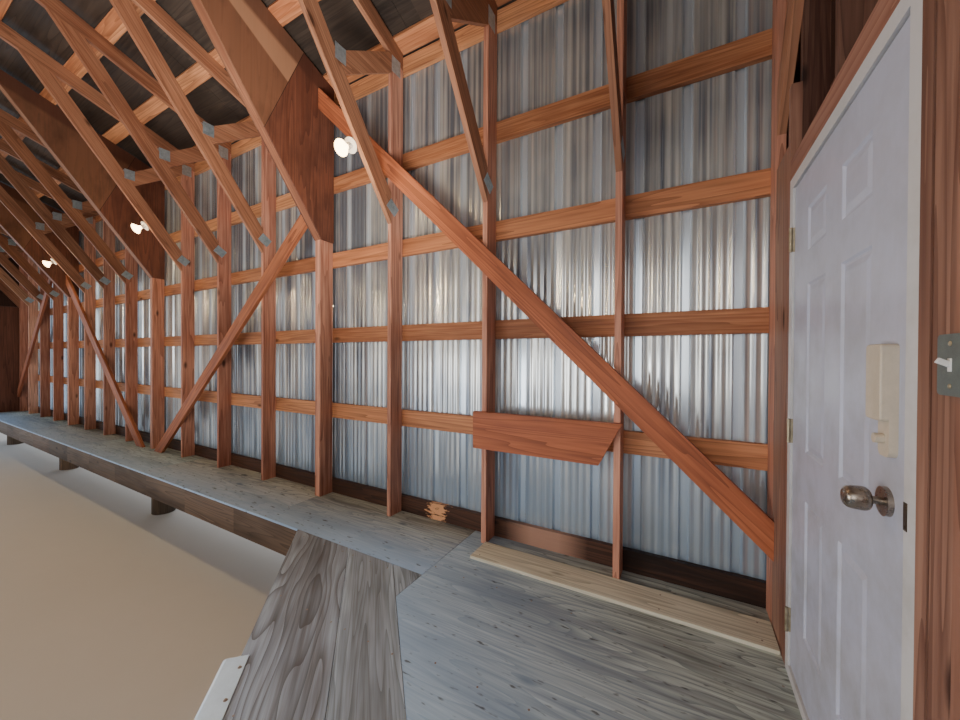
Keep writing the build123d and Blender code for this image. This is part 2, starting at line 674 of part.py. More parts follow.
# Lock housing on the inner face: a tall case, and a lower part below it with the thumb turn
lock_face = Plane(origin=(door_face, latch_edge + LOCK_SETBACK, DECK_TOP + LOCK_TOP),
                  x_dir=(0, 1, 0), z_dir=(-1, 0, 0))
with BuildPart() as door_lock:
    with BuildSketch(lock_face):
        with Locations((LOCK_WIDTH / 2, LOCK_HEIGHT / 2)):
            RectangleRounded(LOCK_WIDTH, LOCK_HEIGHT, LOCK_CORNER)
    extrude(amount=LOCK_DEPTH)
    fillet(door_lock.edges().group_by(Axis.X)[0], LOCK_ROUND)
    with BuildSketch(lock_face):
        with Locations((TURN_WIDTH / 2, LOCK_HEIGHT)):
            RectangleRounded(TURN_WIDTH, 2 * TURN_DROP, TURN_CORNER)
    extrude(amount=TURN_DEPTH)
    with BuildSketch(lock_face):
        with Locations((TURN_WIDTH / 2, LOCK_HEIGHT + TURN_DROP / 2)):
            Circle(TURN_RADIUS)
    extrude(amount=TURN_DEPTH + TURN_LENGTH)
save(door_lock.part, "door_lock")

# Hinges: knuckles and leaves on the frame, and the other leaves on the door's edge
pin_x = frame_inner - PIN_RADIUS
pin_y = hinge_edge + DOOR_GAP / 2
leaf_x = frame_inner + SEAT
with BuildPart() as frame_hinges:
    for height in HINGE_HEIGHTS:
        with Locations((pin_x, pin_y, door_low + height)):
            Cylinder(PIN_RADIUS, HINGE_LENGTH, align=(MID, MID, MID))
        slab((pin_x, frame_hinge - HINGE_PLATE, door_low + height - HINGE_LENGTH / 2),
             (door_face + HINGE_DEPTH, frame_hinge, door_low + height + HINGE_LENGTH / 2))
save(frame_hinges.part, "frame_hinges")

with BuildPart() as door_hinges:
    for height in HINGE_HEIGHTS:
        slab((leaf_x, hinge_edge, door_low + height - HINGE_LENGTH / 2),
             (door_face + HINGE_DEPTH, hinge_edge + HINGE_PLATE, door_low + height + HINGE_LENGTH / 2))
save(door_hinges.part, "door_hinges")

# Switch box on the board beside the door
box_edge = latch_edge - BOX_FROM_DOOR
with BuildPart() as switch_box:
    slab((frame_inner - BOX_DEPTH, box_edge - BOX_WIDTH, DECK_TOP + BOX_BOTTOM),
         (frame_inner, box_edge, DECK_TOP + BOX_BOTTOM + BOX_HEIGHT))
    fillet(switch_box.edges().filter_by(Axis.X), BOX_CORNER)
save(switch_box.part, "switch_box")

# Lamps on the knees next to the heavy frames, pointing square to the knee's lower edge
lamp_dir = (0, -sin(knee_angle), -cos(knee_angle))
lamp_side = (0, cos(knee_angle), -sin(knee_angle))
lamp_y = knee_foot[0] - LAMP_ON_KNEE * cos(knee_angle)
lamp_z = knee_foot[1] + LAMP_ON_KNEE * sin(knee_angle)
with BuildPart() as flood_lamps:
    for x in heavy_frames:
        middle = (x + BAY - BOARD / 2 - LAMP_BOX_RADIUS, lamp_y, lamp_z)
        with BuildSketch(Plane(origin=middle, x_dir=(1, 0, 0), z_dir=lamp_side)) as half_section:
            with BuildLine():
                Polyline((0, -LAMP_BOX_DEPTH), (LAMP_BOX_RADIUS, -LAMP_BOX_DEPTH),
                         (LAMP_BOX_RADIUS, SEAT), (LAMP_PLATE_RADIUS, SEAT),
                         (LAMP_PLATE_RADIUS, SEAT + LAMP_PLATE), (LAMP_NECK, SEAT + LAMP_PLATE),
                         (LAMP_NECK, LAMP_NECK_END), (LAMP_RADIUS, LAMP_LENGTH - LAMP_RIM),
                         (LAMP_RADIUS, LAMP_LENGTH), (0, LAMP_LENGTH), close=True)
            make_face()
        revolve(half_section.sketch, axis=Axis(middle, lamp_dir))
    mirror(flood_lamps.part, about=Plane.XZ)
save(flood_lamps.part, "flood_lamps")

# Wing walls beside the slip at the water end
with BuildPart() as water_wings:
    across([(slip_edge, wall_low), (sheet_inner, wall_low),
            (sheet_inner, gable_top(sheet_inner)), (slip_edge, gable_top(slip_edge))],
           -wall_outer, WALL_SKIN)
    mirror(water_wings.part, about=Plane.XZ)
save(water_wings.part, "water_wings")

with BuildPart() as water_gable:
    end_panel(-slip_edge, slip_edge, eave_z - BEAM_WIDTH, -wall_outer)
save(water_gable.part, "water_gable")

with BuildPart() as water_header:
    slab((-stud_outer, -slip_edge, eave_z - BEAM_WIDTH), (-stud_outer + BOARD, slip_edge, eave_z))
save(water_header.part, "water_header")
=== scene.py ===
"""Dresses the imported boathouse: timber, ribbed sheets, roof, deck, door, lamps, stage and camera.

All places are in metres in the frame's own axes: +X is the land end with the door, +Y is the
photographed wall, and Z is 0 at the feet of the piles.
"""

from itertools import product
from math import atan2, ceil, cos, floor, pi, radians, sin

import bmesh
import bpy
from bpy.props import FloatProperty, FloatVectorProperty, IntProperty, PointerProperty
from mathutils import Matrix, Vector


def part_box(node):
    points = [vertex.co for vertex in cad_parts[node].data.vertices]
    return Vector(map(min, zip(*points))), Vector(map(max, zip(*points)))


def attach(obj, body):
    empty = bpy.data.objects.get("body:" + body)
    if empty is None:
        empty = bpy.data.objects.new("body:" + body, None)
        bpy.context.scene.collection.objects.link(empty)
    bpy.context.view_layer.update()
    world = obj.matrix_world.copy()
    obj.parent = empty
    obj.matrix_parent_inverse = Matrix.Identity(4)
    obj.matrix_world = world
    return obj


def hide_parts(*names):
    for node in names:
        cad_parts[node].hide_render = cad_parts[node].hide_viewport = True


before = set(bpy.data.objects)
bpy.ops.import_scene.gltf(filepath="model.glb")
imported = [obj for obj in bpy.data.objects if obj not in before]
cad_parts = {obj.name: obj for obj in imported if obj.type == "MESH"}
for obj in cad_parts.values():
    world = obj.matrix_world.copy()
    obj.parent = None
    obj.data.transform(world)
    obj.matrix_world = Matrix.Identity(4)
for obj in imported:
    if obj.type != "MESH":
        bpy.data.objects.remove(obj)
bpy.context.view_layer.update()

bl_info = {
    "name": "Boathouse",
    "version": (1, 0, 0),
    "blender": (4, 5, 0),
    "location": "View3D > Sidebar > Boathouse",
    "description": "Dresses a timber-framed boathouse around its packed frame",
    "category": "Object",
}

# Frame of the building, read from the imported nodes
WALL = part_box("wall_sheets_right")
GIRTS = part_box("girts_right")
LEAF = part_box("door_leaf")
DOOR_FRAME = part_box("door_frame")
END_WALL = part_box("door_wall_left")
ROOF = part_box("roof_right")
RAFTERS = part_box("rafters_right")

BAY = 0.9144
FRAMES = 15
HEAVY_EVERY = 4
BOARD = 0.038
# Layers of board in a heavy post, and of plywood in a haunch
LAYER = 0.0381
HAUNCH_LAYER = 0.0505
PANEL_LENGTH = 2.4384
PANEL_WIDTH = 1.2192
PANEL_GAP = 0.003
LINING = 0.0125
SHEET_GAP = 0.0002
# Relief of sawn timber, and of the weathered deck
SAWN = 0.0007
WEATHERED = 0.0010
DECK_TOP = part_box("walkways")[1].z
HALF_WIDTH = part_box("posts")[1].y
POST_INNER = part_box("knees")[1].y
DECK_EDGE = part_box("corner_beams")[1].y
END_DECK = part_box("end_deck_beams")[0].x
RAFTER_RISE = 0.1495
EAVE = RAFTERS[0].z
RIDGE = RAFTERS[1].z - RAFTER_RISE
SLOPE_TANGENT = (RIDGE - EAVE) / HALF_WIDTH
SLOPE = atan2(RIDGE - EAVE, HALF_WIDTH)
ROOF_PLY_LOW = 0.178
ROOF_PLY_HIGH = 0.1905
ROOF_TOP = 0.2105
GIRT_PITCH = 0.745
FIRST_GIRT = 1.467
PURLIN_PITCH = 0.539
FIRST_PURLIN = 2.9487
FIRST_PURLIN_EDGE = 3.025
KNEE_FOOT, KNEE_TOP, KNEE_REACH = 3.125, 5.0522, 1.498
# Seams of a cut corner's planks, each given by the sum of x and y along it
GUARD_EDGE, OUTER_SEAM, INNER_SEAM = 6.4528, 7.0206, 7.4301
INNER_FRAMES = [(i - FRAMES // 2) * BAY for i in range(FRAMES)]
HEAVY_FRAMES = (-HEAVY_EVERY * BAY, 0.0, HEAVY_EVERY * BAY)
LIGHT_FRAMES = [x for x in INNER_FRAMES if min(abs(x - h) for h in HEAVY_FRAMES) > BAY / 2]
# Seam of a haunch's two sheets and edge of its pale patch, as heights that lean with y
SEAM_LEAN, SEAM_DROP = 2.41, 1.674
PATCH_LEAN, PATCH_EDGE = 1.56, 9.382
PLYWOOD_ARRIS = 0.0008
# Turn of the grain of the low braces, and from them to the high ones
LOW_BRACE, TO_HIGH_BRACE = radians(40.2), radians(-84.5)
# Places along the sill of its ruddy stretch and of its splinters
RUDDY_AT, SPLINTERS_AT = 5.9, 4.97
# Each lamp's box is on the frame after a heavy one: its radius, then place and aim
LAMP_BOX = 0.050
LAMP_SIDE, LAMP_HEIGHT = 2.5068, 3.6248
LAMP_AIM_SIDE, LAMP_AIM_DOWN = 0.8166, 0.5771
END_SCREW_PITCH = 0.74
NAIL_PITCH, JOIST_PITCH, NAIL_STAGGER = 0.22, 0.61, 0.006
GRIME_AND_SHADE_HEIGHT = 2.6
# Pitches of boards: one parts the building's two sides, the other parts nothing
SIDE = 4.0
WHOLE = 20.0


def size(name, description, default):
    """A length that a user can change."""
    return FloatProperty(name=name, description=description, default=default, unit="LENGTH")


class BoathouseSizes(bpy.types.PropertyGroup):
    """Sizes of the details that scene.py adds to the frame"""

    rib_pitch: size("Rib pitch", "Distance between the tall ribs of a sheet", 0.2613)
    rib_offset: size("Rib offset", "Place of the tall ribs on their pitch", -0.036)
    rib_foot: size("Rib foot", "Width of a tall rib where it leaves the flat", 0.060)
    rib_top: size("Rib top", "Width of the flat top of a tall rib", 0.038)
    waves: IntProperty(
        name="Waves", description="Number of low waves between two tall ribs", default=4)
    wave_height: size("Wave height", "Height of a low wave", 0.0050)
    metal: size("Sheet metal", "Thickness of the sheet metal", 0.0008)
    screw_radius: size("Screw washer", "Radius of the washer under a sheet screw", 0.0085)
    nail_radius: size("Nail head", "Radius of a nail's head", 0.0048)
    # The worn edge is lighter: wear, and a painted highlight
    arris: size("Arris", "Width of the worn edge along a timber", 0.0022)
    panel_groove: size("Panel groove", "Depth of the groove round a door panel", 0.0068)
    lining_seam: size("Lining seam", "Height of the level seam in the end walls' lining",
                      DECK_TOP + 2.5)


def colour(name, description, default):
    """A colour that a user can change."""
    return FloatVectorProperty(name=name, description=description, default=default,
                               size=3, min=0, max=1, subtype="COLOR")


class BoathouseColours(bpy.types.PropertyGroup):
    """Colours of the boathouse's finishes"""

    post_dark: colour("Posts, dark", "Dark grain of the posts", (0.24, 0.085, 0.055))
    post_light: colour("Posts, light", "Light grain of the posts", (0.80, 0.45, 0.31))
    framing_dark: colour("Framing, dark", "Dark grain of knees and rafters",
                         (0.17, 0.066, 0.035))
    framing_light: colour("Framing, light", "Light grain of knees and rafters",
                          (0.48, 0.26, 0.15))
    brace_dark: colour("Braces, dark", "Dark grain of the braces", (0.19, 0.055, 0.026))
    brace_light: colour("Braces, light", "Light grain of the braces", (0.58, 0.215, 0.10))
    girt_dark: colour("Girts, dark", "Dark grain of girts and purlins", (0.25, 0.090, 0.040))
    girt_light: colour("Girts, light", "Light grain of girts and purlins", (0.70, 0.35, 0.17))
    # Lighter edges of the timber: wear, and a painted highlight where the edges catch the light
    arris: colour("Worn edge", "Worn edges of the timber", (0.70, 0.38, 0.23))
    haunch_dark: colour("Haunch, dark", "Dark grain of the heavy frames' plywood",
                        (0.075, 0.027, 0.017))
    haunch_light: colour("Haunch, light", "Light grain of the heavy frames' plywood",
                         (0.20, 0.084, 0.052))
    haunch_upper: colour("Haunch, upper", "Upper plywood of the heavy frames",
                         (0.21, 0.105, 0.057))
    roof_dark: colour("Roof, dark", "Dark grain under the roof", (0.020, 0.015, 0.012))
    roof_light: colour("Roof, light", "Light grain under the roof", (0.075, 0.055, 0.042))
    deck_dark: colour("Deck, dark", "Dark grain of the deck", (0.10, 0.125, 0.13))
    deck_light: colour("Deck, light", "Light grain of the deck", (0.66, 0.80, 0.74))
    # Painted light: bluish daylight off the water, painted on the deck near the slip
    deck_slip_light: colour("Deck, damp", "Tone of the deck near the slip", (0.34, 0.52, 0.78))
    corner_dark: colour("Corner, dark", "Dark grain of the diagonal planks",
                        (0.11, 0.105, 0.11))
    corner_light: colour("Corner, light", "Light grain of the diagonal planks",
                         (0.36, 0.44, 0.54))
    plank_dark: colour("New plank, dark", "Dark grain of the newer plank", (0.34, 0.33, 0.24))
    plank_light: colour("New plank, light", "Light grain of the newer plank",
                        (0.80, 0.88, 0.74))
    sill_dark: colour("Sill, dark", "Rotten parts of the sill", (0.018, 0.011, 0.008))
    sill_light: colour("Sill, light", "Sound parts of the sill", (0.12, 0.06, 0.035))
    sheet_dull: colour("Sheet, dull", "Dull streaks of the sheets", (0.20, 0.235, 0.285))
    # Painted shade: the sheets turn darker bluish grey towards their foot
    sheet_foot_shade: colour("Sheet, low", "Foot of the sheets", (0.31, 0.42, 0.54))
    sheet_wave: colour("Sheet, waves", "Bright streaks of the sheets", (0.88, 0.90, 0.84))
    # Painted reflection: the tall ribs' flat tops are painted pale bluish white
    sheet_rib_reflection: colour("Sheet, ribs", "Tall ribs of the sheets", (0.80, 0.91, 1.0))
    paint: colour("Door paint", "Paint of the door", (0.49, 0.515, 0.625))
    frame_paint: colour("Door frame paint", "Paint of the door's frame", (0.62, 0.62, 0.62))
    # Grime, and painted shade towards the foot of the door
    grime_and_shade: colour("Grime", "Dirt on painted parts", (0.22, 0.21, 0.15))
    lock: colour("Lock plastic", "Housing of the lock", (0.60, 0.52, 0.40))
    aged: colour("Aged metal", "Knobs and hinges", (0.20, 0.17, 0.14))
    switch: colour("Switch box", "Metal of the switch box", (0.10, 0.12, 0.11))
    lamp: colour("Lamp light", "Light of the lamps", (1.0, 0.70, 0.36))
    guard: colour("Guard strip", "Plastic strip on the edge of the slip", (0.55, 0.68, 0.80))
    rust: colour("Rust", "Rust on the sheets and plates", (0.16, 0.055, 0.02))
    backdrop: colour("Floor", "Floor of the stage", (0.60, 0.60, 0.59))


def chosen(context):
    """The sizes and colours that the user has set."""
    return context.scene.boathouse_sizes, context.scene.boathouse_colours


def shade(tone, share):
    """A colour made darker or lighter."""
    return [part * share for part in tone]


def placed(name, data):
    """A new object in the scene."""
    made = bpy.data.objects.new(name, data)
    bpy.context.scene.collection.objects.link(made)
    return made


class Form:
    """Points and faces of one piece while it is being made."""

    def __init__(self):
        self.points = []
        self.faces = []

    def add(self, points, faces, place=None):
        """Add points and the faces between them, moved to their place."""
        first = len(self.points)
        self.points += [place @ Vector(p) if place else Vector(p) for p in points]
        self.faces += [[first + i for i in face] for face in faces]

    def prism(self, outline, low, high, place=None):
        """Add a bar with this outline in x and y, from low to high in z."""
        count = len(outline)
        points = [(x, y, z) for z in (low, high) for x, y in outline]
        faces = [list(range(count))[::-1], list(range(count, 2 * count))]
        faces += [[i, (i + 1) % count, count + (i + 1) % count, count + i] for i in range(count)]
        self.add(points, faces, place)

    def block(self, low, high, place=None):
        """Add a block between two corners."""
        outline = [(low[0], low[1]), (high[0], low[1]), (high[0], high[1]), (low[0], high[1])]
        self.prism(outline, low[2], high[2], place)

    def turned(self, profile, steps, place=None):
        """Add a turned part from rows of radius and height round the z axis."""
        points = []
        rings = []
        for radius, height in profile:
            count = steps if radius > 0 else 1
            rings.append(range(len(points), len(points) + count))
            points += [(radius * cos(2 * pi * i / steps), radius * sin(2 * pi * i / steps), height)
                       for i in range(count)]
        faces = []
        for low, high in zip(rings, rings[1:]):
            for i in range(steps):
                j = (i + 1) % steps
                corners = (low[i % len(low)], low[j % len(low)],
                           high[j % len(high)], high[i % len(high)])
                faces.append(list(dict.fromkeys(corners)))
        faces += [list(ring) for ring in (rings[0], rings[-1]) if len(ring) > 1]
        self.add(points, faces, place)

    def ribbed(self, rows, low, high, metal, place):
        """Add a thin ribbed sheet: rows of (along, height), between two edges in y."""
        points = []
        for along, height in rows:
            points += [(along, low(along), height), (along, high(along), height),
                       (along, high(along), height + metal), (along, low(along), height + metal)]
        faces = [[0, 1, 2, 3]]
        for near in range(0, 4 * len(rows) - 4, 4):
            faces += [[near + i, near + (i + 1) % 4, near + 4 + (i + 1) % 4, near + 4 + i]
                      for i in range(4)]
        last = 4 * (len(rows) - 1)
        faces.append([last, last + 3, last + 2, last + 1])
        self.add(points, faces, place)

    def piece(self, name, finish, slot, body="building", smooth=None, bevel=0.0, replaces=()):
        """Make the object, with its faces turned outwards, and let it ride on its body."""
        mesh = bpy.data.meshes.new(name)
        mesh.from_pydata(self.points, [], self.faces)
        work = bmesh.new()
        work.from_mesh(mesh)
        bmesh.ops.recalc_face_normals(work, faces=work.faces)
        work.to_mesh(mesh)
        work.free()
        mesh.materials.append(finish)
        made = placed(name, mesh)
        if smooth:
            mesh.shade_smooth()
            mesh.set_sharp_from_angle(angle=radians(smooth))
        if bevel:
            soften(made, bevel)
        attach(made, body)
        if replaces:
            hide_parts(*replaces)


def soften(made, width, edge=None):
    """Round the sharp edges of a piece, with the edge finish on them if there is one."""
    bevel = made.modifiers.new("Arris", "BEVEL")
    bevel.width = width
    bevel.segments = 2
    bevel.limit_method = "ANGLE"
    bevel.angle_limit = radians(50)
    bevel.use_clamp_overlap = True
    if edge:
        made.data.materials.append(edge)
        bevel.material = len(made.data.materials) - 1


def axes(origin, x_axis, y_axis, z_axis):
    """The matrix that puts local axes at a place of the building."""
    turn = Matrix((x_axis, y_axis, z_axis)).transposed().to_4x4()
    return Matrix.Translation(origin) @ turn


def facing(origin, direction):
    """The matrix that puts a turned part at a place, with its z axis along a direction."""
    turn = Vector(direction).to_track_quat("Z", "Y").to_matrix().to_4x4()
    return Matrix.Translation(origin) @ turn


def finish_nodes(names, finish, edge=None, width=0.0):
    """Give kept CAD nodes their finish, and rounded edges with their own finish to their timbers.
    """
    for name in names.split():
        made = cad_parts[name]
        made.data.materials.clear()
        made.data.materials.append(finish)
        if width:
            soften(made, width, edge)


class Value:
    """A number made by a node, which is reckoned with like any other."""

    def __init__(self, finish, socket):
        self.finish = finish
        self.socket = socket

    def __add__(self, other):
        return self.finish.maths("ADD", self, other)

    def __sub__(self, other):
        return self.finish.maths("SUBTRACT", self, other)

    def __rsub__(self, other):
        return self.finish.maths("SUBTRACT", other, self)

    def __mul__(self, other):
        return self.finish.maths("MULTIPLY", self, other)

    def __gt__(self, other):
        return self.finish.maths("GREATER_THAN", self, other)

    def __lt__(self, other):
        return self.finish.maths("LESS_THAN", self, other)

    def __abs__(self):
        return self.finish.maths("ABSOLUTE", self)


class Finish:
    """The node tree of one material."""

    def __init__(self, name):
        self.material = bpy.data.materials.new(name)
        self.material.use_nodes = True
        self.tree = self.material.node_tree
        self.shader = self.tree.nodes["Principled BSDF"]
        self.place = self.add("ShaderNodeTexCoord", {}).outputs["Object"]

    def fill(self, socket, value):
        """Put a number, a colour or another node's output on a socket."""
        value = getattr(value, "socket", value)
        if isinstance(value, bpy.types.NodeSocket):
            self.tree.links.new(value, socket)
        else:
            socket.default_value = value

    def add(self, kind, inputs, **settings):
        """Add a node with its settings and inputs."""
        node = self.tree.nodes.new(kind)
        for key, value in settings.items():
            setattr(node, key, value)
        for key, value in inputs.items():
            self.fill(node.inputs[key], value)
        return node

    def maths(self, operation, first, second=0.0):
        """One sum of two numbers."""
        node = self.add("ShaderNodeMath", {0: first, 1: second}, operation=operation)
        return Value(self, node.outputs[0])

    def vector(self, operation, first, second=(0, 0, 0)):
        """One sum of two vectors."""
        return self.add("ShaderNodeVectorMath", {0: first, 1: second},
                        operation=operation).outputs[0]

    def parts(self, vector):
        """The three numbers of a vector."""
        return [Value(self, part)
                for part in self.add("ShaderNodeSeparateXYZ", {0: vector}).outputs]

    def joined(self, *numbers):
        """A vector of three numbers."""
        return self.add("ShaderNodeCombineXYZ", dict(enumerate(numbers))).outputs[0]

    def noise(self, place, scale, detail=3.0, rough=0.55):
        """Cloudy noise between 0 and 1, with one scale or one for each axis."""
        if isinstance(scale, tuple):
            place = self.vector("MULTIPLY", place, scale)
            scale = 1.0
        node = self.add("ShaderNodeTexNoise", {
            "Vector": place, "Scale": scale, "Detail": detail, "Roughness": rough})
        return Value(self, node.outputs[0])

    def spread(self, value, low, high, to_low=0.0, to_high=1.0):
        """A number taken from one range to another, and held inside it."""
        node = self.add("ShaderNodeMapRange", {
            "Value": value, "From Min": low, "From Max": high, "To Min": to_low,
            "To Max": to_high})
        return Value(self, node.outputs[0])

    def mixed(self, share, first, second):
        """Two colours mixed by a share."""
        inputs = {0: share, 6: first, 7: second}
        for key in (6, 7):
            if not isinstance(inputs[key], bpy.types.NodeSocket):
                inputs[key] = (*inputs[key], 1.0)
        return self.add("ShaderNodeMix", inputs, data_type="RGBA").outputs[2]

    def boards(self, pitch, offset=(0.5, 0.0, 0.0)):
        """A random number and colour for each board, from the grid that the boards stand on."""
        steps = self.vector("MULTIPLY", self.place, [1 / p for p in pitch])
        cell = self.vector("FLOOR", self.vector("ADD", steps, offset))
        node = self.add("ShaderNodeTexWhiteNoise", {"Vector": cell}, noise_dimensions="3D")
        return Value(self, node.outputs["Value"]), node.outputs["Color"]

    def bump(self, height, distance):
        """Surface relief of this height."""
        inputs = {"Height": height, "Distance": distance, "Strength": 1.0}
        return self.add("ShaderNodeBump", inputs).outputs[0]

    def done(self, **sockets):
        """Set the shader's sockets and return the material."""
        for key, value in sockets.items():
            name = key.replace("_", " ").title().replace("Ior", "IOR")
            self.fill(self.shader.inputs[name], value)
        return self.material


def grain_along(f, axis, angle):
    """The place of a point, turned so that x runs along the grain of the boards."""
    x, y, z = f.parts(f.place)
    if axis == "x":
        return f.place
    if axis == "y":
        return f.joined(y, x, z)
    if axis == "z":
        return f.joined(z, x, y)
    turn = angle
    if axis == "brace":
        # High braces fall towards the ends, low ones towards the middle
        along, across, other = abs(x), z, y
        turn = (along > HEAVY_FRAMES[-1]) * TO_HIGH_BRACE + LOW_BRACE
    elif axis == "deck":
        along, across, other = x, abs(y), z
    else:
        along, across, other = abs(y), z, x
    cosine = f.maths("COSINE", turn)
    sine = f.maths("SINE", turn)
    return f.joined(along * cosine + across * sine, other, across * cosine - along * sine)


def grained(f, dark, light, axis, pitch, angle=0.0, offset=(0.5, 0.0, 0.0),
            figure=(0.3, 7.0, 14.0), lines=0.65, knots=0.9, knot_size=0.12, dirt=0.4):
    """Colour of sawn timber or plywood, its grain, and the place of a point on its own board.

    figure holds how often the grain's figure changes along and across, and its lines."""
    tone, seed = f.boards(pitch, offset)
    own = f.vector("ADD", grain_along(f, axis, angle),
                   f.vector("MULTIPLY", seed, (9.0, 9.0, 9.0)))
    fine = f.noise(own, (2.4, 65.0, 65.0), 2.0, 0.7)
    broad = f.noise(own, (0.8, 4.5, 4.5), 3.0, 0.62)
    along, across, count = figure
    field = f.noise(own, (along, across, across), 2.0, 0.4)
    late = f.maths("POWER", f.maths("FRACT", field * count), 2.6)
    value = fine + broad * 0.60 + tone * 0.50
    base = f.mixed(f.spread(value, 0.72, 1.40), dark, light)
    ruddy = [light[0] * 0.85, light[1] * 0.55, light[2] * 0.45]
    base = f.mixed(f.parts(seed)[1] * 0.4, base, ruddy)
    base = f.mixed(late * lines, base, shade(dark, 0.8))
    knot = f.add("ShaderNodeTexVoronoi", {
        "Vector": f.vector("MULTIPLY", own, (1.9, 5.0, 5.0)), "Scale": 1.0})
    spot = f.spread(knot.outputs["Distance"], knot_size * 0.4, knot_size, knots, 0.0)
    base = f.mixed(spot, base, shade(dark, 0.35))
    base = f.mixed(f.spread(broad, 0.50, 0.24, 0.0, dirt), base, shade(dark, 0.35))
    return base, fine, own


def wood(name, dark, light, axis, pitch, angle=0.0, relief=0.0, extra=None, **settings):
    """Sawn timber or plywood: grain along its boards, knots, dirt, and a tone for each board."""
    f = Finish(name)
    base, fine, own = grained(f, dark, light, axis, pitch, angle, **settings)
    if extra:
        base = extra(f, base, own)
    if relief:
        f.done(normal=f.bump(fine, relief))
    return f.done(roughness=f.spread(fine, 0.3, 0.7, 0.5, 0.75), base_color=base,
                  specular_ior_level=0.3)


def sheet_metal(name, sizes, c, axis, stretch, foot, pitch):
    """Galvanised ribbed sheet: waves between tall ribs, streaks and rust, with a painted reflection
    on the ribs and painted shade at the foot and the top.
    """
    f = Finish(name)
    tone, seed = f.boards(pitch)
    own = f.vector("ADD", f.place, f.vector("MULTIPLY", seed, (5.0, 5.0, 5.0)))
    streaks = f.noise(own, stretch, 3.0, 0.6)
    value = streaks * 0.85 + f.noise(own, 1.7, 2.0, 0.6) * 0.35 + tone * 0.22
    place = f.parts(f.place)
    height = place[2]
    from_rib = place["XYZ".index(axis)] - sizes.rib_offset
    steps = f.maths("DIVIDE", from_rib, sizes.rib_pitch)
    off_rib = abs(f.maths("FRACT", steps + 0.5) - 0.5)
    half = sizes.rib_foot / sizes.rib_pitch / 2
    base = f.mixed(f.spread(value, 0.58, 0.86), c.sheet_dull, c.sheet_wave)
    # Painted reflection: pale bluish white on the tall ribs, where they mirror bright daylight
    base = f.mixed(f.spread(off_rib, half * 0.75, half * 1.15, 0.7, 0.0), base, c.sheet_rib_reflection)
    spots = f.spread(f.noise(own, 14.0, 4.0, 0.7), 0.5, 0.62)
    base = f.mixed(spots * f.spread(height, foot, foot + 0.35, 0.8, 0.0), base, c.rust)
    # Painted shade: darker bluish grey towards the foot of the sheets
    base = f.mixed(f.spread(height, 0.9, 1.8, 0.75, 0.0), base, c.sheet_foot_shade)
    # Painted shade: the sheets grow darker towards the top, under the eaves
    sheet_top_shade = (0.13, 0.125, 0.13)
    base = f.mixed(f.spread(height, 2.9, 3.8, 0.0, 0.36), base, sheet_top_shade)
    return f.done(roughness=f.spread(streaks, 0.3, 0.7, 0.28, 0.12), base_color=base,
                  metallic=0.5)


def plain(name, first, second, rough=(0.35, 0.6), scale=30.0, metallic=0.0, relief=0.0003):
    """Paint, plastic or small metal: two close tones in a fine cloud, with slight relief."""
    f = Finish(name)
    cloud = f.noise(f.place, scale, 5.0, 0.6)
    value = cloud * 0.75 + f.noise(f.place, scale * 14, 2.0, 0.5) * 0.25
    base = f.mixed(f.spread(value, 0.35, 0.65), first, second)
    if relief:
        f.done(normal=f.bump(value, relief))
    return f.done(roughness=f.spread(cloud, 0.35, 0.65, *rough), base_color=base,
                  metallic=metallic)


def painted(name, paint, grime_and_shade):
    """Worn paint: brush marks, and grime in patches that grows towards the foot, which is partly
    dirt and partly painted shade.
    """
    f = Finish(name)
    patches = f.noise(f.place, 5.0, 6.0, 0.65)
    brush = f.noise(f.place, (90.0, 90.0, 5.0))
    # Grime and painted shade: the patches darken the paint more towards the foot
    foot = f.spread(f.parts(f.place)[2], LEAF[0].z, LEAF[0].z + GRIME_AND_SHADE_HEIGHT, 0.55, 0.06)
    base = f.mixed(f.spread(patches, 0.42, 0.72) * foot, paint, grime_and_shade)
    base = f.mixed(f.spread(brush, 0.3, 0.7, 0.0, 0.10), base, shade(paint, 0.75))
    return f.done(roughness=f.spread(patches, 0.3, 0.7, 0.32, 0.5), base_color=base,
                  normal=f.bump(brush + patches * 0.8, 0.00025))


def rib_rows(sizes, start, end, rib_height):
    """Rows of (along, height) of a sheet from start to end, with its ribs on one grid."""
    pitch = sizes.rib_pitch
    wave = (pitch - sizes.rib_foot) / sizes.waves
    parts = 8
    shape = [(-sizes.rib_top / 2, rib_height), (sizes.rib_top / 2, rib_height)]
    for i in range(sizes.waves * parts + 1):
        along = sizes.rib_foot / 2 + i * wave / parts
        shape.append((along, sizes.wave_height * (0.5 - 0.5 * cos(2 * pi * i / parts))))
    rows = []
    for step in range(floor(start / pitch) - 1, ceil(end / pitch) + 2):
        rows += [(sizes.rib_offset + step * pitch + along, height) for along, height in shape]

    def height_at(along):
        for (a0, h0), (a1, h1) in zip(rows, rows[1:]):
            if a0 <= along <= a1:
                return h0 + (h1 - h0) * (along - a0) / (a1 - a0)
        raise ValueError("the sheet's rows don't reach its end")

    inside = [row for row in rows if start < row[0] < end]
    return [(start, height_at(start))] + inside + [(end, height_at(end))]


def add_screw(form, sizes, place):
    """A sheet screw: its washer and its six-sided head."""
    washer = sizes.screw_radius
    form.turned([(washer * 0.6, 0.0), (washer, 0.0004), (washer * 0.8, 0.0018)], 10, place)
    form.turned([(washer * 0.62, 0.0016), (washer * 0.62, 0.0050), (washer * 0.5, 0.0058)], 6,
                place)


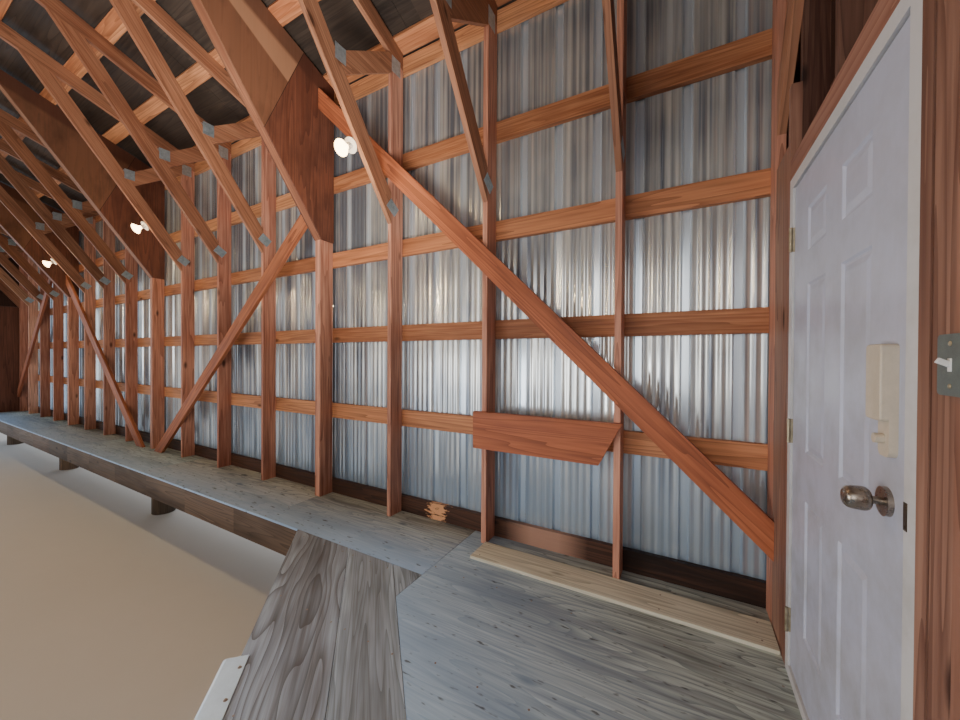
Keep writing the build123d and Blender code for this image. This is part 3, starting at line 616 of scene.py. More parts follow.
def add_screws(form, sizes, start, end, place, heights):
    """The screws of a sheet: on the foot beside each tall rib, at the heights there."""
    beside = sizes.rib_offset + sizes.rib_foot / 2 + 0.004
    for step in range(floor(start / sizes.rib_pitch) - 1, ceil(end / sizes.rib_pitch) + 2):
        along = step * sizes.rib_pitch + beside
        if start + 0.02 < along < end - 0.02:
            for height in heights(along):
                spot = place @ Vector((along, height, sizes.metal))
                add_screw(form, sizes, facing(spot, place.to_3x3() @ Vector((0, 0, 1))))


def gable_top(y):
    """Height of the top of an end wall at y."""
    return RIDGE + RAFTER_RISE - abs(y) * SLOPE_TANGENT


def panel_ends(first, last, length):
    """Both ends of each of the panels that fill a stretch, without slivers."""
    starts = [first + i * length for i in range(ceil((last - first) / length))]
    ends = [(start, min(start + length - PANEL_GAP, last)) for start in starts]
    return [(start, end) for start, end in ends if end - start > 0.05]


def add_light(name, kind, place, aim, power, tint, **settings):
    """A light at a place, turned to a direction."""
    light = bpy.data.lights.new(name, kind)
    light.energy = power
    light.color = tint
    for key, value in settings.items():
        setattr(light, key, value)
    made = placed(name, light)
    made.location = place
    made.rotation_mode = "QUATERNION"
    made.rotation_quaternion = aim.to_track_quat("-Z", "Y")
    return made


class BOATHOUSE_OT_stage(bpy.types.Operator):
    """Make the floor, the soft lights and the camera"""

    bl_idname = "boathouse.stage"
    bl_label = "Stage"

    def execute(self, context):
        c = context.scene.boathouse_colours
        mesh = bpy.data.meshes.new("stage_floor")
        mesh.from_pydata([(-60, -60, 0), (60, -60, 0), (60, 60, 0), (-60, 60, 0)], [],
                         [[0, 1, 2, 3]])
        mesh.materials.append(plain("stage_floor", c.backdrop, shade(c.backdrop, 0.97),
                                    (0.7, 0.8), 0.5, relief=0.0))
        placed("stage_floor", mesh)

        world = bpy.data.worlds.new("stage_world")
        world.use_nodes = True
        background = world.node_tree.nodes["Background"]
        background.inputs["Color"].default_value = (0.93, 0.95, 1.0, 1.0)
        background.inputs["Strength"].default_value = 0.42
        context.scene.world = world

        # Name, place, point that it lights, width and height, power, colour, spread in degrees
        lights = [
            ("key", (14, -9, 13), (0, 0, 2), (9, 9), 2600, (1.0, 0.97, 0.93), 180),
            ("side_fill", (-12, 12, 9), (0, 0, 2), (9, 9), 1500, (0.95, 0.97, 1.0), 180),
            ("slip_glow", (-1.6, 0, 0.36), (-1.6, 0, 4), (10.5, 4.2), 85, (0.96, 0.97, 1.0), 180),
            ("water_end", (-7.0, 0, 2.4), (0, 1.2, 2.2), (4.0, 3.6), 80, (0.70, 0.85, 1.0), 180),
            ("far_wall", (1.0, -2.75, 1.35), (1.0, 3.0, 1.1), (11.0, 1.1), 32,
             (0.90, 0.95, 1.0), 180),
            ("knee_glow", (5.9, 0.5, 1.2), (3.5, 1.9, 4.6), (1.6, 1.0), 52,
             (1.0, 0.93, 0.86), 75),
            ("door_fill", (4.2, 0.2, 1.5), (7.15, 2.1, 1.3), (1.4, 1.0), 18,
             (0.93, 0.95, 1.0), 120),
            ("room_fill", (5.9, -2.2, 2.6), (4.6, 3.0, 2.0), (2.4, 2.4), 56,
             (0.98, 0.98, 1.0), 180),
            ("roof_fill", (3.0, -0.6, 2.3), (2.2, 1.8, 5.0), (3.0, 2.0), 30,
             (1.0, 0.93, 0.85), 180),
        ]
        for name, place, target, (width, height), power, tint, spread in lights:
            made = add_light(name, "AREA", place, Vector(target) - Vector(place), power, tint,
                             shape="RECTANGLE", size=width, size_y=height,
                             spread=radians(spread))
            made.visible_camera = False

        # The photograph's own place, heading, pitch and roll
        heading, pitch, roll = radians(29.0024), radians(-0.4208), radians(0.3004)
        ahead = Vector((-sin(heading) * cos(pitch), cos(heading) * cos(pitch), sin(pitch)))
        level = Vector((cos(heading), sin(heading), 0))
        upright = level.cross(ahead)
        right = cos(roll) * level + sin(roll) * upright
        up = cos(roll) * upright - sin(roll) * level
        camera = bpy.data.cameras.new("camera")
        camera.sensor_width = 36.0
        camera.sensor_fit = "HORIZONTAL"
        camera.lens = 13.758
        camera.clip_start = 0.02
        camera.clip_end = 200
        eye = placed("camera", camera)
        eye.matrix_world = axes((6.7488, 0.5184, 2.0025), right, up, -ahead)
        context.scene.camera = eye
        return {"FINISHED"}


class BOATHOUSE_OT_timber(bpy.types.Operator):
    """Finish the posts, girts, rafters, knees, purlins, braces and plywood haunches"""

    bl_idname = "boathouse.timber"
    bl_label = "Timber frame"

    def execute(self, context):
        sizes, c = chosen(context)
        by_frame = (BAY, SIDE, WHOLE)
        knee_angle = atan2(KNEE_TOP - KNEE_FOOT, KNEE_REACH - POST_INNER)
        # Wear and a painted highlight: the rounded edges of the timber are lighter
        edge = plain("worn_edge_highlight", c.arris, shade(c.arris, 0.8), (0.5, 0.7), 12.0)

        def haunch_parts(f, base, own):
            """Lighter plywood above a slanting seam, a pale patch, and painted shade along the
            upper edge under the roof.
            """
            x, y, z = f.parts(f.place)
            side = abs(y)
            above = z - (side * SEAM_LEAN - SEAM_DROP)
            base = f.mixed(f.spread(above, -0.006, 0.006, 0.0, 0.55), base, c.haunch_upper)
            blotches = f.noise(own, (2.2, 5.0, 5.0), 4.0, 0.6)
            base = f.mixed(f.spread(blotches, 0.45, 0.72, 0.0, 0.6), base,
                           shade(c.haunch_dark, 0.55))
            patch = f.spread(z * PATCH_LEAN - (PATCH_EDGE - side), -0.01, 0.01)
            patch = patch * f.spread(above, 0.0, 0.012) * (x > HEAVY_FRAMES[-1]) * (y > 0.0)
            base = f.mixed(patch * 0.6, base, c.framing_light)
            # Painted shade: darker along the haunch's upper edge, under the roof
            depth = RIDGE + RAFTER_RISE - z - side * SLOPE_TANGENT
            base = f.mixed(f.spread(depth, 0.15, 0.19, 0.75, 0.0), base, c.haunch_dark)
            return f.mixed(f.spread(abs(above), 0.003, 0.010, 0.8, 0.0), base,
                           (0.01, 0.006, 0.004))

        def sill_parts(f, base, own):
            """Rotten splinters on the sill and a ruddy stretch."""
            x = f.parts(f.place)[0]
            base = f.mixed(f.spread(abs(x - RUDDY_AT), 0.1, 0.3, 0.7, 0.0), base,
                           shade(c.post_light, 0.66))
            rags = f.noise(f.place, (16.0, 50.0, 50.0), 4.0, 0.7)
            near = f.spread(abs(x - SPLINTERS_AT), 0.03, 0.18, 0.35, 0.0)
            return f.mixed(f.spread(rags + near, 0.72, 0.80), base, c.girt_light)

        # Nodes, finish, dark and light grain, axis of the grain, pitch of the boards, the rest
        rows = [
            ("posts", "post_timber", c.post_dark, c.post_light, "z", by_frame,
             {"relief": SAWN}),
            ("heavy_posts", "heavy_post_timber", c.post_dark, c.post_light, "z",
             (LAYER, SIDE, WHOLE), {}),
            # Painted shade: the gable studs are far darker than the posts, for the unlit recess
            # they stand in
            ("gable_studs", "shaded_stud_timber", shade(c.post_dark, 0.21), shade(c.post_light, 0.27),
             "z", (WHOLE, 0.305, WHOLE), {}),
            ("girts_right girts_left", "girt_timber", c.girt_dark, c.girt_light, "x",
             (4 * BAY, SIDE, GIRT_PITCH), {"offset": (0.0, 0.0, 0.53), "relief": SAWN}),
            ("purlins", "purlin_timber", c.girt_dark, c.girt_light, "x",
             (4 * BAY, PURLIN_PITCH, WHOLE), {"offset": (0.0, 0.5, 0.0)}),
            ("rafters_right rafters_left", "rafter_timber", c.framing_dark, c.framing_light,
             "slope", by_frame, {"angle": -SLOPE}),
            ("knees", "knee_timber", c.framing_dark, c.framing_light, "slope", by_frame,
             {"angle": knee_angle}),
            ("heel_webs", "web_timber", c.framing_dark, c.framing_light, "slope", by_frame, {}),
            ("wall_braces", "brace_timber", c.brace_dark, c.brace_light, "brace",
             (8 * BAY, SIDE, WHOLE), {"relief": SAWN}),
            ("rack_board water_header", "rack_timber", c.brace_dark, c.brace_light, "x",
             (2.0, SIDE, 2.0), {"relief": SAWN}),
            ("sills", "sill_timber", c.sill_dark, c.sill_light, "x", (2 * BAY, SIDE, WHOLE),
             {"dirt": 0.8, "relief": 0.002, "extra": sill_parts}),
            ("haunch_plywood", "haunch_plywood", c.haunch_dark, c.haunch_light, "z",
             (HAUNCH_LAYER, SIDE, WHOLE), {"knots": 0.3, "extra": haunch_parts}),
        ]
        for nodes, name, dark, light, axis, pitch, rest in rows:
            width = PLYWOOD_ARRIS if nodes == "haunch_plywood" else sizes.arris
            finish_nodes(nodes, wood(name, dark, light, axis, pitch, **rest), edge, width)
        return {"FINISHED"}


class BOATHOUSE_OT_deck(bpy.types.Operator):
    """Finish the deck's plywood, planks, beams and piles, and add its nails"""

    bl_idname = "boathouse.deck"
    bl_label = "Deck"

    def execute(self, context):
        sizes, c = chosen(context)
        edge = plain("deck_edge", c.deck_light, c.deck_dark, (0.6, 0.8), 25.0)

        def slip_water_light(f, base, own):
            """Painted bluish light from the water near the slip, with dark flecks along the grain.
            """
            x, y, z = f.parts(f.place)
            sideways = f.spread(abs(y), HALF_WIDTH - 0.10, DECK_EDGE, 0.0, 0.85)
            inward = f.spread(x + abs(y), 9.2, OUTER_SEAM, 0.0, 0.85)
            # Painted light: the deck turns bluish towards the slip, where light comes off the water
            base = f.mixed(inward + (sideways - inward) * (x < END_DECK), base, c.deck_slip_light)
            flecks = f.noise(own, (13.0, 42.0, 42.0), 2.0, 0.5)
            return f.mixed(f.spread(flecks, 0.64, 0.74, 0.0, 0.75), base, (0.035, 0.030, 0.030))

        sheet = {"figure": (0.6, 5.0, 18.0), "lines": 0.6, "knots": 1.0, "knot_size": 0.13,
                 "dirt": 0.8, "extra": slip_water_light, "relief": WEATHERED}
        corner = Finish("corner_plank_timber")
        diagonal = ("deck", (WHOLE, SIDE, WHOLE), radians(-45))
        outer, fine, own = grained(corner, c.corner_dark, c.corner_light, *diagonal,
                                   figure=(0.55, 3.2, 26.0), lines=0.85, knots=0.3, dirt=0.5)
        inner, fine, own = grained(corner, c.deck_dark, shade(c.corner_light, 1.28), *diagonal,
                                   figure=(0.35, 7.0, 22.0), lines=0.6, knots=0.2, dirt=0.5)
        x, y, z = corner.parts(corner.place)
        across = x + abs(y)
        middle = abs(across - (OUTER_SEAM + INNER_SEAM) / 2)
        inner = corner.mixed(corner.spread(middle, 0.10, 0.20, 0.35, 0.0), inner, c.corner_dark)
        corner.done(roughness=corner.spread(fine, 0.3, 0.7, 0.5, 0.75),
                    base_color=corner.mixed(across > OUTER_SEAM, outer, inner),
                    normal=corner.bump(fine, WEATHERED), specular_ior_level=0.3)

        soft = 0.0015
        finish_nodes("walkways", wood("walkway_plywood", c.deck_dark, c.deck_light, "x",
                                      (PANEL_LENGTH, SIDE, WHOLE), **sheet), edge, soft)
        finish_nodes("end_deck", wood("end_deck_plywood", c.deck_dark, c.deck_light, "x",
                                      (WHOLE, PANEL_LENGTH, WHOLE), offset=(0.0, 0.5, 0.0),
                                      **sheet), edge, soft)
        finish_nodes("corner_planks", corner.material, edge, soft)
        finish_nodes("new_plank", wood("new_plank_timber", c.plank_dark, c.plank_light, "x",
                                       (5.0, 5.0, 5.0), knots=0.6, dirt=0.2), edge, soft)
        finish_nodes("walkway_beams end_deck_beams corner_beams",
                     wood("beam_timber", (0.06, 0.042, 0.030), (0.20, 0.15, 0.11), "x",
                          (BAY, 1.0, WHOLE), dirt=0.6), None, sizes.arris)
        finish_nodes("piles", wood("pile_timber", (0.07, 0.05, 0.035), (0.22, 0.17, 0.12), "z",
                                   (1.0, 1.0, WHOLE), dirt=0.7, relief=0.004))
        finish_nodes("slip_guard", plain("guard_strip", c.guard, shade(c.guard, 0.85),
                                         (0.3, 0.5), 9.0), None, 0.0012)

        nails = Form()
        radius = sizes.nail_radius
        head = [(radius, -0.0002), (radius, 0.0005), (radius * 0.7, 0.0010), (0.0, 0.0011)]
        across = (HALF_WIDTH - DECK_EDGE - 0.04) / 3
        spots = [(x, side * (DECK_EDGE + 0.02 + i * across), DECK_TOP)
                 for x in INNER_FRAMES if x < END_DECK - 0.05 for side in (-1, 1)
                 for i in range(4)]
        for i, j in product(range(-4, 5), range(9)):
            x = END_DECK + 0.02 + j * NAIL_PITCH
            y = i * JOIST_PITCH + NAIL_STAGGER * (-1) ** j
            if abs(y) < PANEL_LENGTH / 2 or x + abs(y) > INNER_SEAM + 0.03:
                spots.append((x, y, DECK_TOP))
        # Nails of the diagonal planks, by the sum of x and y as their seams are
        spots += [(total - y, side * y, DECK_TOP) for side in (-1, 1) for y in (1.27, 1.78, 2.28)
                  for total in (6.55, 6.78, 6.97, 7.07, 7.23, 7.38)]
        low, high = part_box("new_plank")
        spots += [(x, y, high.z) for x in (low.x + 0.05, high.x - 0.5, high.x - 0.06)
                  for y in (low.y + 0.04, high.y - 0.04)]
        for spot in spots:
            nails.turned(head, 8, Matrix.Translation(spot))
        nail_metal = plain("nail_metal", (0.20, 0.12, 0.08), (0.34, 0.30, 0.27), (0.4, 0.7),
                           90.0, 0.6)
        nails.piece("deck_nails", nail_metal, "aged_metal", smooth=40)

        screws = Form()
        guard_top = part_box("slip_guard")[1].z
        for side, along in product((1, -1), (0.067, 0.225, 0.383)):
            x = END_DECK + 0.0094 - along * cos(pi / 4)
            y = GUARD_EDGE + 0.0248 - x
            add_screw(screws, sizes, facing((x, side * y, guard_top - 0.0002), (0, 0, 1)))
        screws.piece("guard_screws", nail_metal, "aged_metal", smooth=40)
        return {"FINISHED"}


class BOATHOUSE_OT_walls(bpy.types.Operator):
    """Put ribbed sheets with their screws on the long walls"""

    bl_idname = "boathouse.walls"
    bl_label = "Wall sheets"

    def execute(self, context):
        sizes, c = chosen(context)
        metal = sheet_metal("wall_sheet_metal", sizes, c, "X", (26.0, 26.0, 0.30), WALL[0].z,
                            (BAY, SIDE, WHOLE))
        screw_metal = plain("screw_metal", (0.35, 0.35, 0.36), (0.55, 0.55, 0.56), (0.35, 0.5),
                            60.0, 0.8)
        start, end = WALL[0].x, WALL[1].x
        rows = rib_rows(sizes, start, end, WALL[1].y - WALL[0].y - sizes.metal)
        heights = [DECK_TOP + 0.07, *(FIRST_GIRT + i * GIRT_PITCH for i in range(4)),
                   GIRTS[1].z - 0.07]
        screws = Form()
        for side, name in ((1, "right"), (-1, "left")):
            place = axes((0, side * WALL[0].y, 0), (1, 0, 0), (0, 0, 1), (0, side, 0))
            sheets = Form()
            sheets.ribbed(rows, lambda along: WALL[0].z, lambda along: WALL[1].z, sizes.metal,
                          place)
            sheets.piece(f"wall_sheeting_{name}", metal, "galvanised_sheet",
                         replaces=[f"wall_sheets_{name}"])
            add_screws(screws, sizes, start, end, place, lambda along: heights)
        screws.piece("wall_screws", screw_metal, "galvanised_sheet", smooth=40)
        return {"FINISHED"}


class BOATHOUSE_OT_roof(bpy.types.Operator):
    """Make the roof's plywood panels and the ribbed sheets on them"""

    bl_idname = "boathouse.roof"
    bl_label = "Roof"

    def execute(self, context):
        sizes, c = chosen(context)
        plywood = wood("roof_plywood", c.roof_dark, c.roof_light, "x", (PANEL_LENGTH, 1.2, WHOLE),
                       offset=(0.0, 0.0, 0.0), knots=0.2, dirt=0.5)
        metal = sheet_metal("roof_sheet_metal", sizes, c, "X", (26.0, 1.0, 1.0), 0.0,
                            (BAY, SIDE, WHOLE))
        run, rise = cos(SLOPE), sin(SLOPE)
        start, end = ROOF[0].x, ROOF[1].x
        # Places up the slope, from the ridge line
        eave = -(ROOF[1].y - ROOF_TOP * rise) / run
        ridge = -(0.004 - ROOF_PLY_HIGH * rise) / run
        purlins = [-(FIRST_PURLIN - i * PURLIN_PITCH - ROOF_PLY_HIGH * rise) / run
                   for i in range(6)]
        rows = rib_rows(sizes, start, end, ROOF_TOP - ROOF_PLY_HIGH - sizes.metal)
        screws = Form()
        for side, name in ((1, "right"), (-1, "left")):
            # x along the ridge, y up the slope, z out of the roof
            place = axes((0, 0, RIDGE), (1, 0, 0), (0, -side * run, rise), (0, side * rise, run))
            panels = Form()
            for x0, x1 in panel_ends(start, end, PANEL_LENGTH):
                for y0, y1 in panel_ends(-FIRST_PURLIN_EDGE / run, ridge - 0.006, PANEL_WIDTH):
                    panels.block((x0, y0, ROOF_PLY_LOW), (x1, y1, ROOF_PLY_HIGH), place)
            panels.piece(f"roof_decking_{name}", plywood, "roof_skin",
                         replaces=[f"roof_{name}"])
            sheets = Form()
            lifted = place @ Matrix.Translation((0, 0, ROOF_PLY_HIGH + SHEET_GAP))
            sheets.ribbed(rows, lambda along: eave, lambda along: ridge, sizes.metal, lifted)
            sheets.piece(f"roof_sheeting_{name}", metal, "roof_skin",
                         replaces=[f"roof_{name}"])
            add_screws(screws, sizes, start, end, lifted, lambda along: purlins)
        screws.piece("roof_screws", bpy.data.materials["screw_metal"], "roof_skin", smooth=40)
        finish_nodes("ridge_cap", metal, None, sizes.metal)
        return {"FINISHED"}


class BOATHOUSE_OT_end_walls(bpy.types.Operator):
    """Make the end walls' plywood linings and the ribbed sheets outside them"""

    bl_idname = "boathouse.end_walls"
    bl_label = "End walls"

    def execute(self, context):
        sizes, c = chosen(context)
        grid = {"pitch": (WHOLE, PANEL_WIDTH, WHOLE), "offset": (0.0, 0.2, 0.0), "knots": 0.3}
        lower = wood("lining_plywood", c.haunch_dark, c.haunch_light, "z", dirt=0.4, **grid)
        upper = wood("upper_lining_plywood", shade(c.haunch_dark, 0.3),
                     shade(c.haunch_light, 0.3), "z", dirt=0.5, **grid)
        metal = sheet_metal("end_sheet_metal", sizes, c, "Y", (26.0, 26.0, 0.30),
                            END_WALL[0].z, (WHOLE, BAY, WHOLE))
        rib_height = END_WALL[1].x - END_WALL[0].x - LINING - sizes.metal
        seam = sizes.lining_seam
        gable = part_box("water_gable")
        screws = Form()
        for node in ("door_wall_right", "door_wall_left", "door_wall_top", "water_wings",
                     "water_gable"):
            low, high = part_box(node)
            outward = 1 if low.x > 0 else -1
            inner = low.x if outward > 0 else high.x
            place = axes((inner, 0, 0), (0, 1, 0), (0, 0, 1), (outward, 0, 0))
            lifted = place @ Matrix.Translation((0, 0, LINING + SHEET_GAP))
            spans = [(low.y, high.y)]
            if node == "water_wings":
                spans = [(low.y, gable[0].y), (gable[1].y, high.y)]
            sheets = Form()
            # Name, finish, foot and top of the lining's panels
            linings = [("lower", lower, low.z, seam, Form()),
                       ("upper", upper, max(low.z, seam + PANEL_GAP), RIDGE + 1, Form())]

            def heights(along):
                first = max(low.z, END_WALL[0].z) + 0.12
                count = ceil((gable_top(along) - 0.05 - first) / END_SCREW_PITCH)
                return [first + i * END_SCREW_PITCH for i in range(count)]

            for start, end in spans:
                rows = rib_rows(sizes, start, end, rib_height)
                if start < 0 < end:
                    rows = sorted({*rows, (0.0, rib_height)})
                sheets.ribbed(rows, lambda along: low.z, gable_top, sizes.metal, lifted)
                seams = [i * PANEL_WIDTH for i in range(-3, 4)]
                cuts = [start, *(y for y in seams if start + 0.05 < y < end - 0.05), end]
                for y0, y1 in zip(cuts, cuts[1:]):
                    y0 += PANEL_GAP / 2 * (y0 != start)
                    y1 -= PANEL_GAP / 2 * (y1 != end)
                    for part, finish, foot, top, form in linings:
                        if foot < top - 0.01:
                            form.prism([(y0, foot), (y1, foot), (y1, min(top, gable_top(y1))),
                                        (y0, min(top, gable_top(y0)))], 0.0, LINING, place)
                add_screws(screws, sizes, start, end, lifted, heights)
            sheets.piece(f"{node}_sheeting", metal, "wall_skin", replaces=[node])
            for part, finish, foot, top, form in linings:
                if form.points:
                    form.piece(f"{node}_{part}_lining", finish, "wall_skin", replaces=[node])
        screws.piece("end_wall_screws", bpy.data.materials["screw_metal"], "wall_skin",
                     smooth=40)
        return {"FINISHED"}


class BOATHOUSE_OT_nail_plates(bpy.types.Operator):
    """Press toothed nail plates on the joints of the light frames"""

    bl_idname = "boathouse.nail_plates"
    bl_label = "Nail plates"

    def execute(self, context):
        steel = plain("plate_steel", (0.30, 0.38, 0.42), (0.54, 0.63, 0.67), (0.3, 0.5), 40.0,
                      0.7)
        # Middle in y and z, width and height, and turn of each plate
        plates = [((2.335, 4.165), (0.095, 0.115), 0.0),
                  ((2.912, 4.470), (0.105, 0.135), 0.0),
                  ((2.876, 3.262), (0.115, 0.095), radians(-35))]
        thick = 0.0011
        tooth_width, tooth_length, tooth_height = 0.0048, 0.0085, 0.0012
        form = Form()
        for x, face, side, plate in product(LIGHT_FRAMES, (-1, 1), (-1, 1), plates):
            (y, z), (width, height), turn = plate
            place = (axes((x + face * BOARD / 2, side * y, z), (0, side, 0), (0, 0, 1),
                          (face, 0, 0)) @ Matrix.Rotation(turn, 4, "Z"))
            form.block((-width / 2, -height / 2, 0.0), (width / 2, height / 2, thick), place)
            columns = int(width / 0.017)
            rows = int(height / 0.020)
            for i, j in product(range(columns), range(rows)):
                across = (i + 0.5) * width / columns - width / 2
                up = (j + 0.5) * height / rows - height / 2
                form.block((across - tooth_width / 2, up - tooth_length / 2, thick),
                           (across + tooth_width / 2, up + tooth_length / 2,
                            thick + tooth_height), place)
        form.piece("nail_plates", steel, "galvanised_sheet")
        return {"FINISHED"}


class BOATHOUSE_OT_door(bpy.types.Operator):
    """Make the six-panel door and finish its frame, boards and header"""

    bl_idname = "boathouse.door"
    bl_label = "Door"

    def execute(self, context):
        sizes, c = chosen(context)
        low, high = LEAF
        # Edges of the stiles across the door, then of the rails up it
        ys = [0.0, 0.182, 0.390, 0.524, 0.732, high.y - low.y]
        zs = [0.0, 0.237, 0.770, 0.950, 1.600, 1.720, 1.890, high.z - low.z]
        columns, rows = len(ys), len(zs)
        depth = sizes.panel_groove
        # Each ring of a panel: how far in from the panel's edge, and how deep
        rings = [(0.003, 0.0006), (0.010, depth), (0.017, depth), (0.034, 0.0022),
                 (0.038, 0.0016)]
        faces = []
        points = []
        for face, sign in ((0.0, 1), (high.x - low.x, -1)):
            first = len(points)
            points += [(face, y, z) for z in zs for y in ys]
            for j, i in product(range(rows - 1), range(columns - 1)):
                near = first + j * columns + i
                ring = [near, near + 1, near + 1 + columns, near + columns]
                if i in (1, 3) and j in (1, 3, 5):
                    for inset, sink in rings:
                        inner = list(range(len(points), len(points) + 4))
                        y0, y1, z0, z1 = (ys[i] + inset, ys[i + 1] - inset, zs[j] + inset,
                                          zs[j + 1] - inset)
                        points += [(face + sign * sink, y, z)
                                   for y, z in ((y0, z0), (y1, z0), (y1, z1), (y0, z1))]
                        faces += [[ring[k], ring[(k + 1) % 4], inner[(k + 1) % 4], inner[k]]
                                  for k in range(4)]
                        ring = inner
                faces.append(ring)
        back = len(points) // 2
        rim = [*range(columns), *range(2 * columns - 1, rows * columns, columns),
               *range(rows * columns - 2, (rows - 1) * columns - 1, -1),
               *range((rows - 2) * columns, 0, -columns)]
        faces += [[a, b, back + b, back + a] for a, b in zip(rim, rim[1:] + rim[:1])]
        form = Form()
        form.add(points, faces, Matrix.Translation(low))
        form.piece("door_panels", painted("door_paint", c.paint, c.grime_and_shade), "door_paint", "door",
                   bevel=0.0012, replaces=["door_leaf"])

        finish_nodes("door_frame", painted("frame_paint", c.frame_paint, c.grime_and_shade), None, 0.0012)
        edge = bpy.data.materials["worn_edge_highlight"]
        # Painted shade: the door boards are darker than the posts, for the shade they stand in
        # beside the door
        boards = wood("shaded_door_board_timber", shade(c.post_dark, 0.48), shade(c.post_light, 0.44),
                      "z", (WHOLE, 0.25, WHOLE), offset=(0.0, 0.2, 0.0), relief=SAWN)
        finish_nodes("door_boards", boards, edge, sizes.arris)
        header = wood("header_timber", c.post_dark, shade(c.post_light, 0.52), "y",
                      (WHOLE, WHOLE, WHOLE))
        finish_nodes("door_header", header, edge, sizes.arris)

        strike = Form()
        y = DOOR_FRAME[0].y + 0.030
        face = DOOR_FRAME[0].x
        strike.block((face - 0.0014, y, 1.650), (face, y + 0.013, 1.708))
        for z in (1.658, 1.700):
            strike.turned([(0.0032, 0.0), (0.0032, 0.0008), (0.0, 0.0014)], 10,
                          facing((face - 0.0013, y + 0.0065, z), (-1, 0, 0)))
        aged = plain("strike_metal", (0.07, 0.05, 0.035), (0.14, 0.10, 0.07), (0.35, 0.55), 70.0,
                     0.7)
        strike.piece("strike_plate", aged, "aged_metal", smooth=40)
        return {"FINISHED"}


class BOATHOUSE_OT_hardware(bpy.types.Operator):
    """Finish the knobs, lock and hinges, and dress the switch"""

    bl_idname = "boathouse.hardware"
    bl_label = "Door hardware and switch"

    def execute(self, context):
        c = context.scene.boathouse_colours
        hinge = plain("hinge_metal", (0.30, 0.25, 0.16), (0.48, 0.41, 0.28), (0.35, 0.55), 50.0,
                      0.75)
        finish_nodes("frame_hinges door_hinges", hinge)
        finish_nodes("door_knobs", plain("knob_metal", c.aged, shade(c.aged, 2.2), (0.22, 0.40),
                                         55.0, 0.9))
        finish_nodes("door_lock", plain("lock_plastic", c.lock, shade(c.lock, 0.86),
                                        (0.38, 0.55), 14.0))
        finish_nodes("switch_box", plain("switch_metal", c.switch, shade(c.switch, 1.8),
                                         (0.35, 0.55), 45.0, 0.5))

        low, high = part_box("switch_box")
        y = (low.y + high.y) / 2
        place = axes((low.x, y, (low.z + high.z) / 2), (0, 1, 0), (0, 0, 1), (-1, 0, 0))
        toggle = Form()
        toggle.block((-0.0045, -0.011, -0.001), (0.0045, 0.011, 0.0015), place)
        toggle.block((-0.0033, -0.0045, 0.0), (0.0033, 0.0045, 0.017),
                     place @ Matrix.Rotation(radians(-28), 4, "X"))
        toggle.piece("switch_toggle", plain("toggle_plastic", (0.75, 0.74, 0.70),
                                            (0.85, 0.84, 0.80), (0.3, 0.4), 20.0),
                     "lamp_glass", smooth=40, bevel=0.0008)
        screws = Form()
        for z in (low.z + 0.016, high.z - 0.016):
            screws.turned([(0.0042, -0.0002), (0.0042, 0.0006), (0.0030, 0.0016),
                           (0.0, 0.0019)], 14, facing((low.x, y, z), (-1, 0, 0)))
        screws.piece("switch_screws", hinge, "aged_metal", smooth=40)
        return {"FINISHED"}


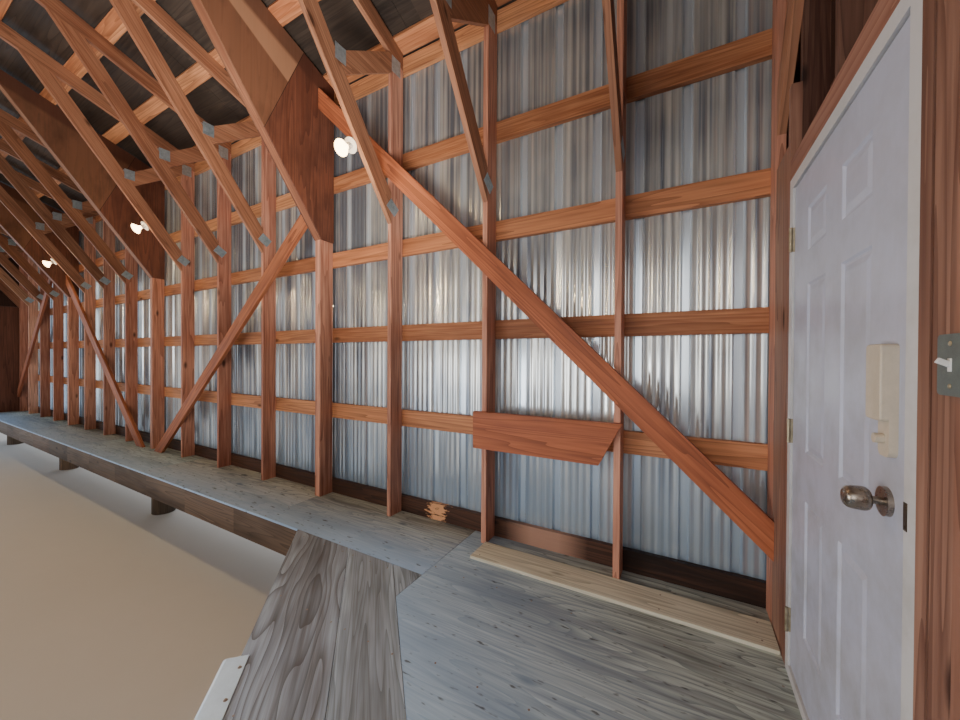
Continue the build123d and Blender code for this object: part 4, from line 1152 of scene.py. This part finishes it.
class BOATHOUSE_OT_lamps(bpy.types.Operator):
    """Make the flood lamps: box, white cover plate, holder and lit bulb"""

    bl_idname = "boathouse.lamps"
    bl_label = "Flood lamps"

    def execute(self, context):
        c = context.scene.boathouse_colours
        box_metal = plain("lamp_box_metal", (0.30, 0.30, 0.30), (0.45, 0.45, 0.45), (0.35, 0.5),
                          40.0, 0.7)
        white = plain("lamp_white", (0.72, 0.70, 0.66), (0.82, 0.80, 0.76), (0.3, 0.45), 20.0)
        bulb = Finish("lamp_glow").done(roughness=0.2, base_color=(*c.lamp, 1.0),
                                        emission_color=(*c.lamp, 1.0), emission_strength=14.0)
        boxes, plates, bulbs = Form(), Form(), Form()
        for heavy, side in product(HEAVY_FRAMES, (-1, 1)):
            x = heavy + BAY - BOARD / 2 - LAMP_BOX
            aim = Vector((0, -side * LAMP_AIM_SIDE, -LAMP_AIM_DOWN))
            base = Vector((x, side * LAMP_SIDE, LAMP_HEIGHT))
            place = facing(base, aim)
            boxes.turned([(0.048, -0.054), (LAMP_BOX, -0.052), (LAMP_BOX, -0.004),
                          (0.048, 0.0)], 32, place)
            plates.turned([(0.056, 0.0), (0.058, 0.0015), (0.058, 0.0045), (0.056, 0.006),
                           (0.024, 0.0075), (0.021, 0.011), (0.021, 0.030), (0.023, 0.032),
                           (0.023, 0.050), (0.021, 0.052)], 40, place)
            bulbs.turned([(0.019, 0.050), (0.021, 0.058), (0.034, 0.078), (0.050, 0.096),
                          (0.060, 0.108), (0.061, 0.112), (0.058, 0.117), (0.046, 0.125),
                          (0.028, 0.131), (0.0, 0.133)], 40, place)
            for kind, power, cone in (("SPOT", 66.0, {"spot_size": radians(160),
                                                      "spot_blend": 0.7}),
                                      ("POINT", 11.0, {})):
                add_light(f"lamp_{kind.lower()}_{x:.0f}_{side}", kind, base + aim * 0.16, aim,
                          power, c.lamp, shadow_soft_size=0.05, **cone)
        boxes.piece("lamp_boxes", box_metal, "switch_metal", smooth=40)
        plates.piece("lamp_plates", white, "lamp_glass", smooth=40)
        bulbs.piece("lamp_bulbs", bulb, "lamp_glass", smooth=60, replaces=["flood_lamps"])
        return {"FINISHED"}


STEPS = (BOATHOUSE_OT_stage, BOATHOUSE_OT_timber, BOATHOUSE_OT_deck, BOATHOUSE_OT_walls,
         BOATHOUSE_OT_roof, BOATHOUSE_OT_end_walls, BOATHOUSE_OT_nail_plates, BOATHOUSE_OT_door,
         BOATHOUSE_OT_hardware, BOATHOUSE_OT_lamps)


class BOATHOUSE_PT_steps(bpy.types.Panel):
    """The steps that dress the boathouse, in their order"""

    bl_label = "Boathouse"
    bl_idname = "BOATHOUSE_PT_steps"
    bl_space_type = "VIEW_3D"
    bl_region_type = "UI"
    bl_category = "Boathouse"

    def draw(self, context):
        for step in STEPS:
            self.layout.operator(step.bl_idname)
        for group in chosen(context):
            for name in group.bl_rna.properties.keys():
                if name not in ("rna_type", "name"):
                    self.layout.prop(group, name)


CLASSES = (BoathouseSizes, BoathouseColours, *STEPS, BOATHOUSE_PT_steps)


def register():
    """Register the classes and give each scene its sizes and colours."""
    for item in CLASSES:
        bpy.utils.register_class(item)
    bpy.types.Scene.boathouse_sizes = PointerProperty(type=BoathouseSizes)
    bpy.types.Scene.boathouse_colours = PointerProperty(type=BoathouseColours)


def unregister():
    """Take the classes and the scene's sizes and colours away."""
    del bpy.types.Scene.boathouse_colours
    del bpy.types.Scene.boathouse_sizes
    for item in reversed(CLASSES):
        bpy.utils.unregister_class(item)


def main():
    """Dress the boathouse step by step."""
    register()
    for step in STEPS:
        group, name = step.bl_idname.split(".")
        getattr(getattr(bpy.ops, group), name)()


if __name__ == "__main__":
    main()
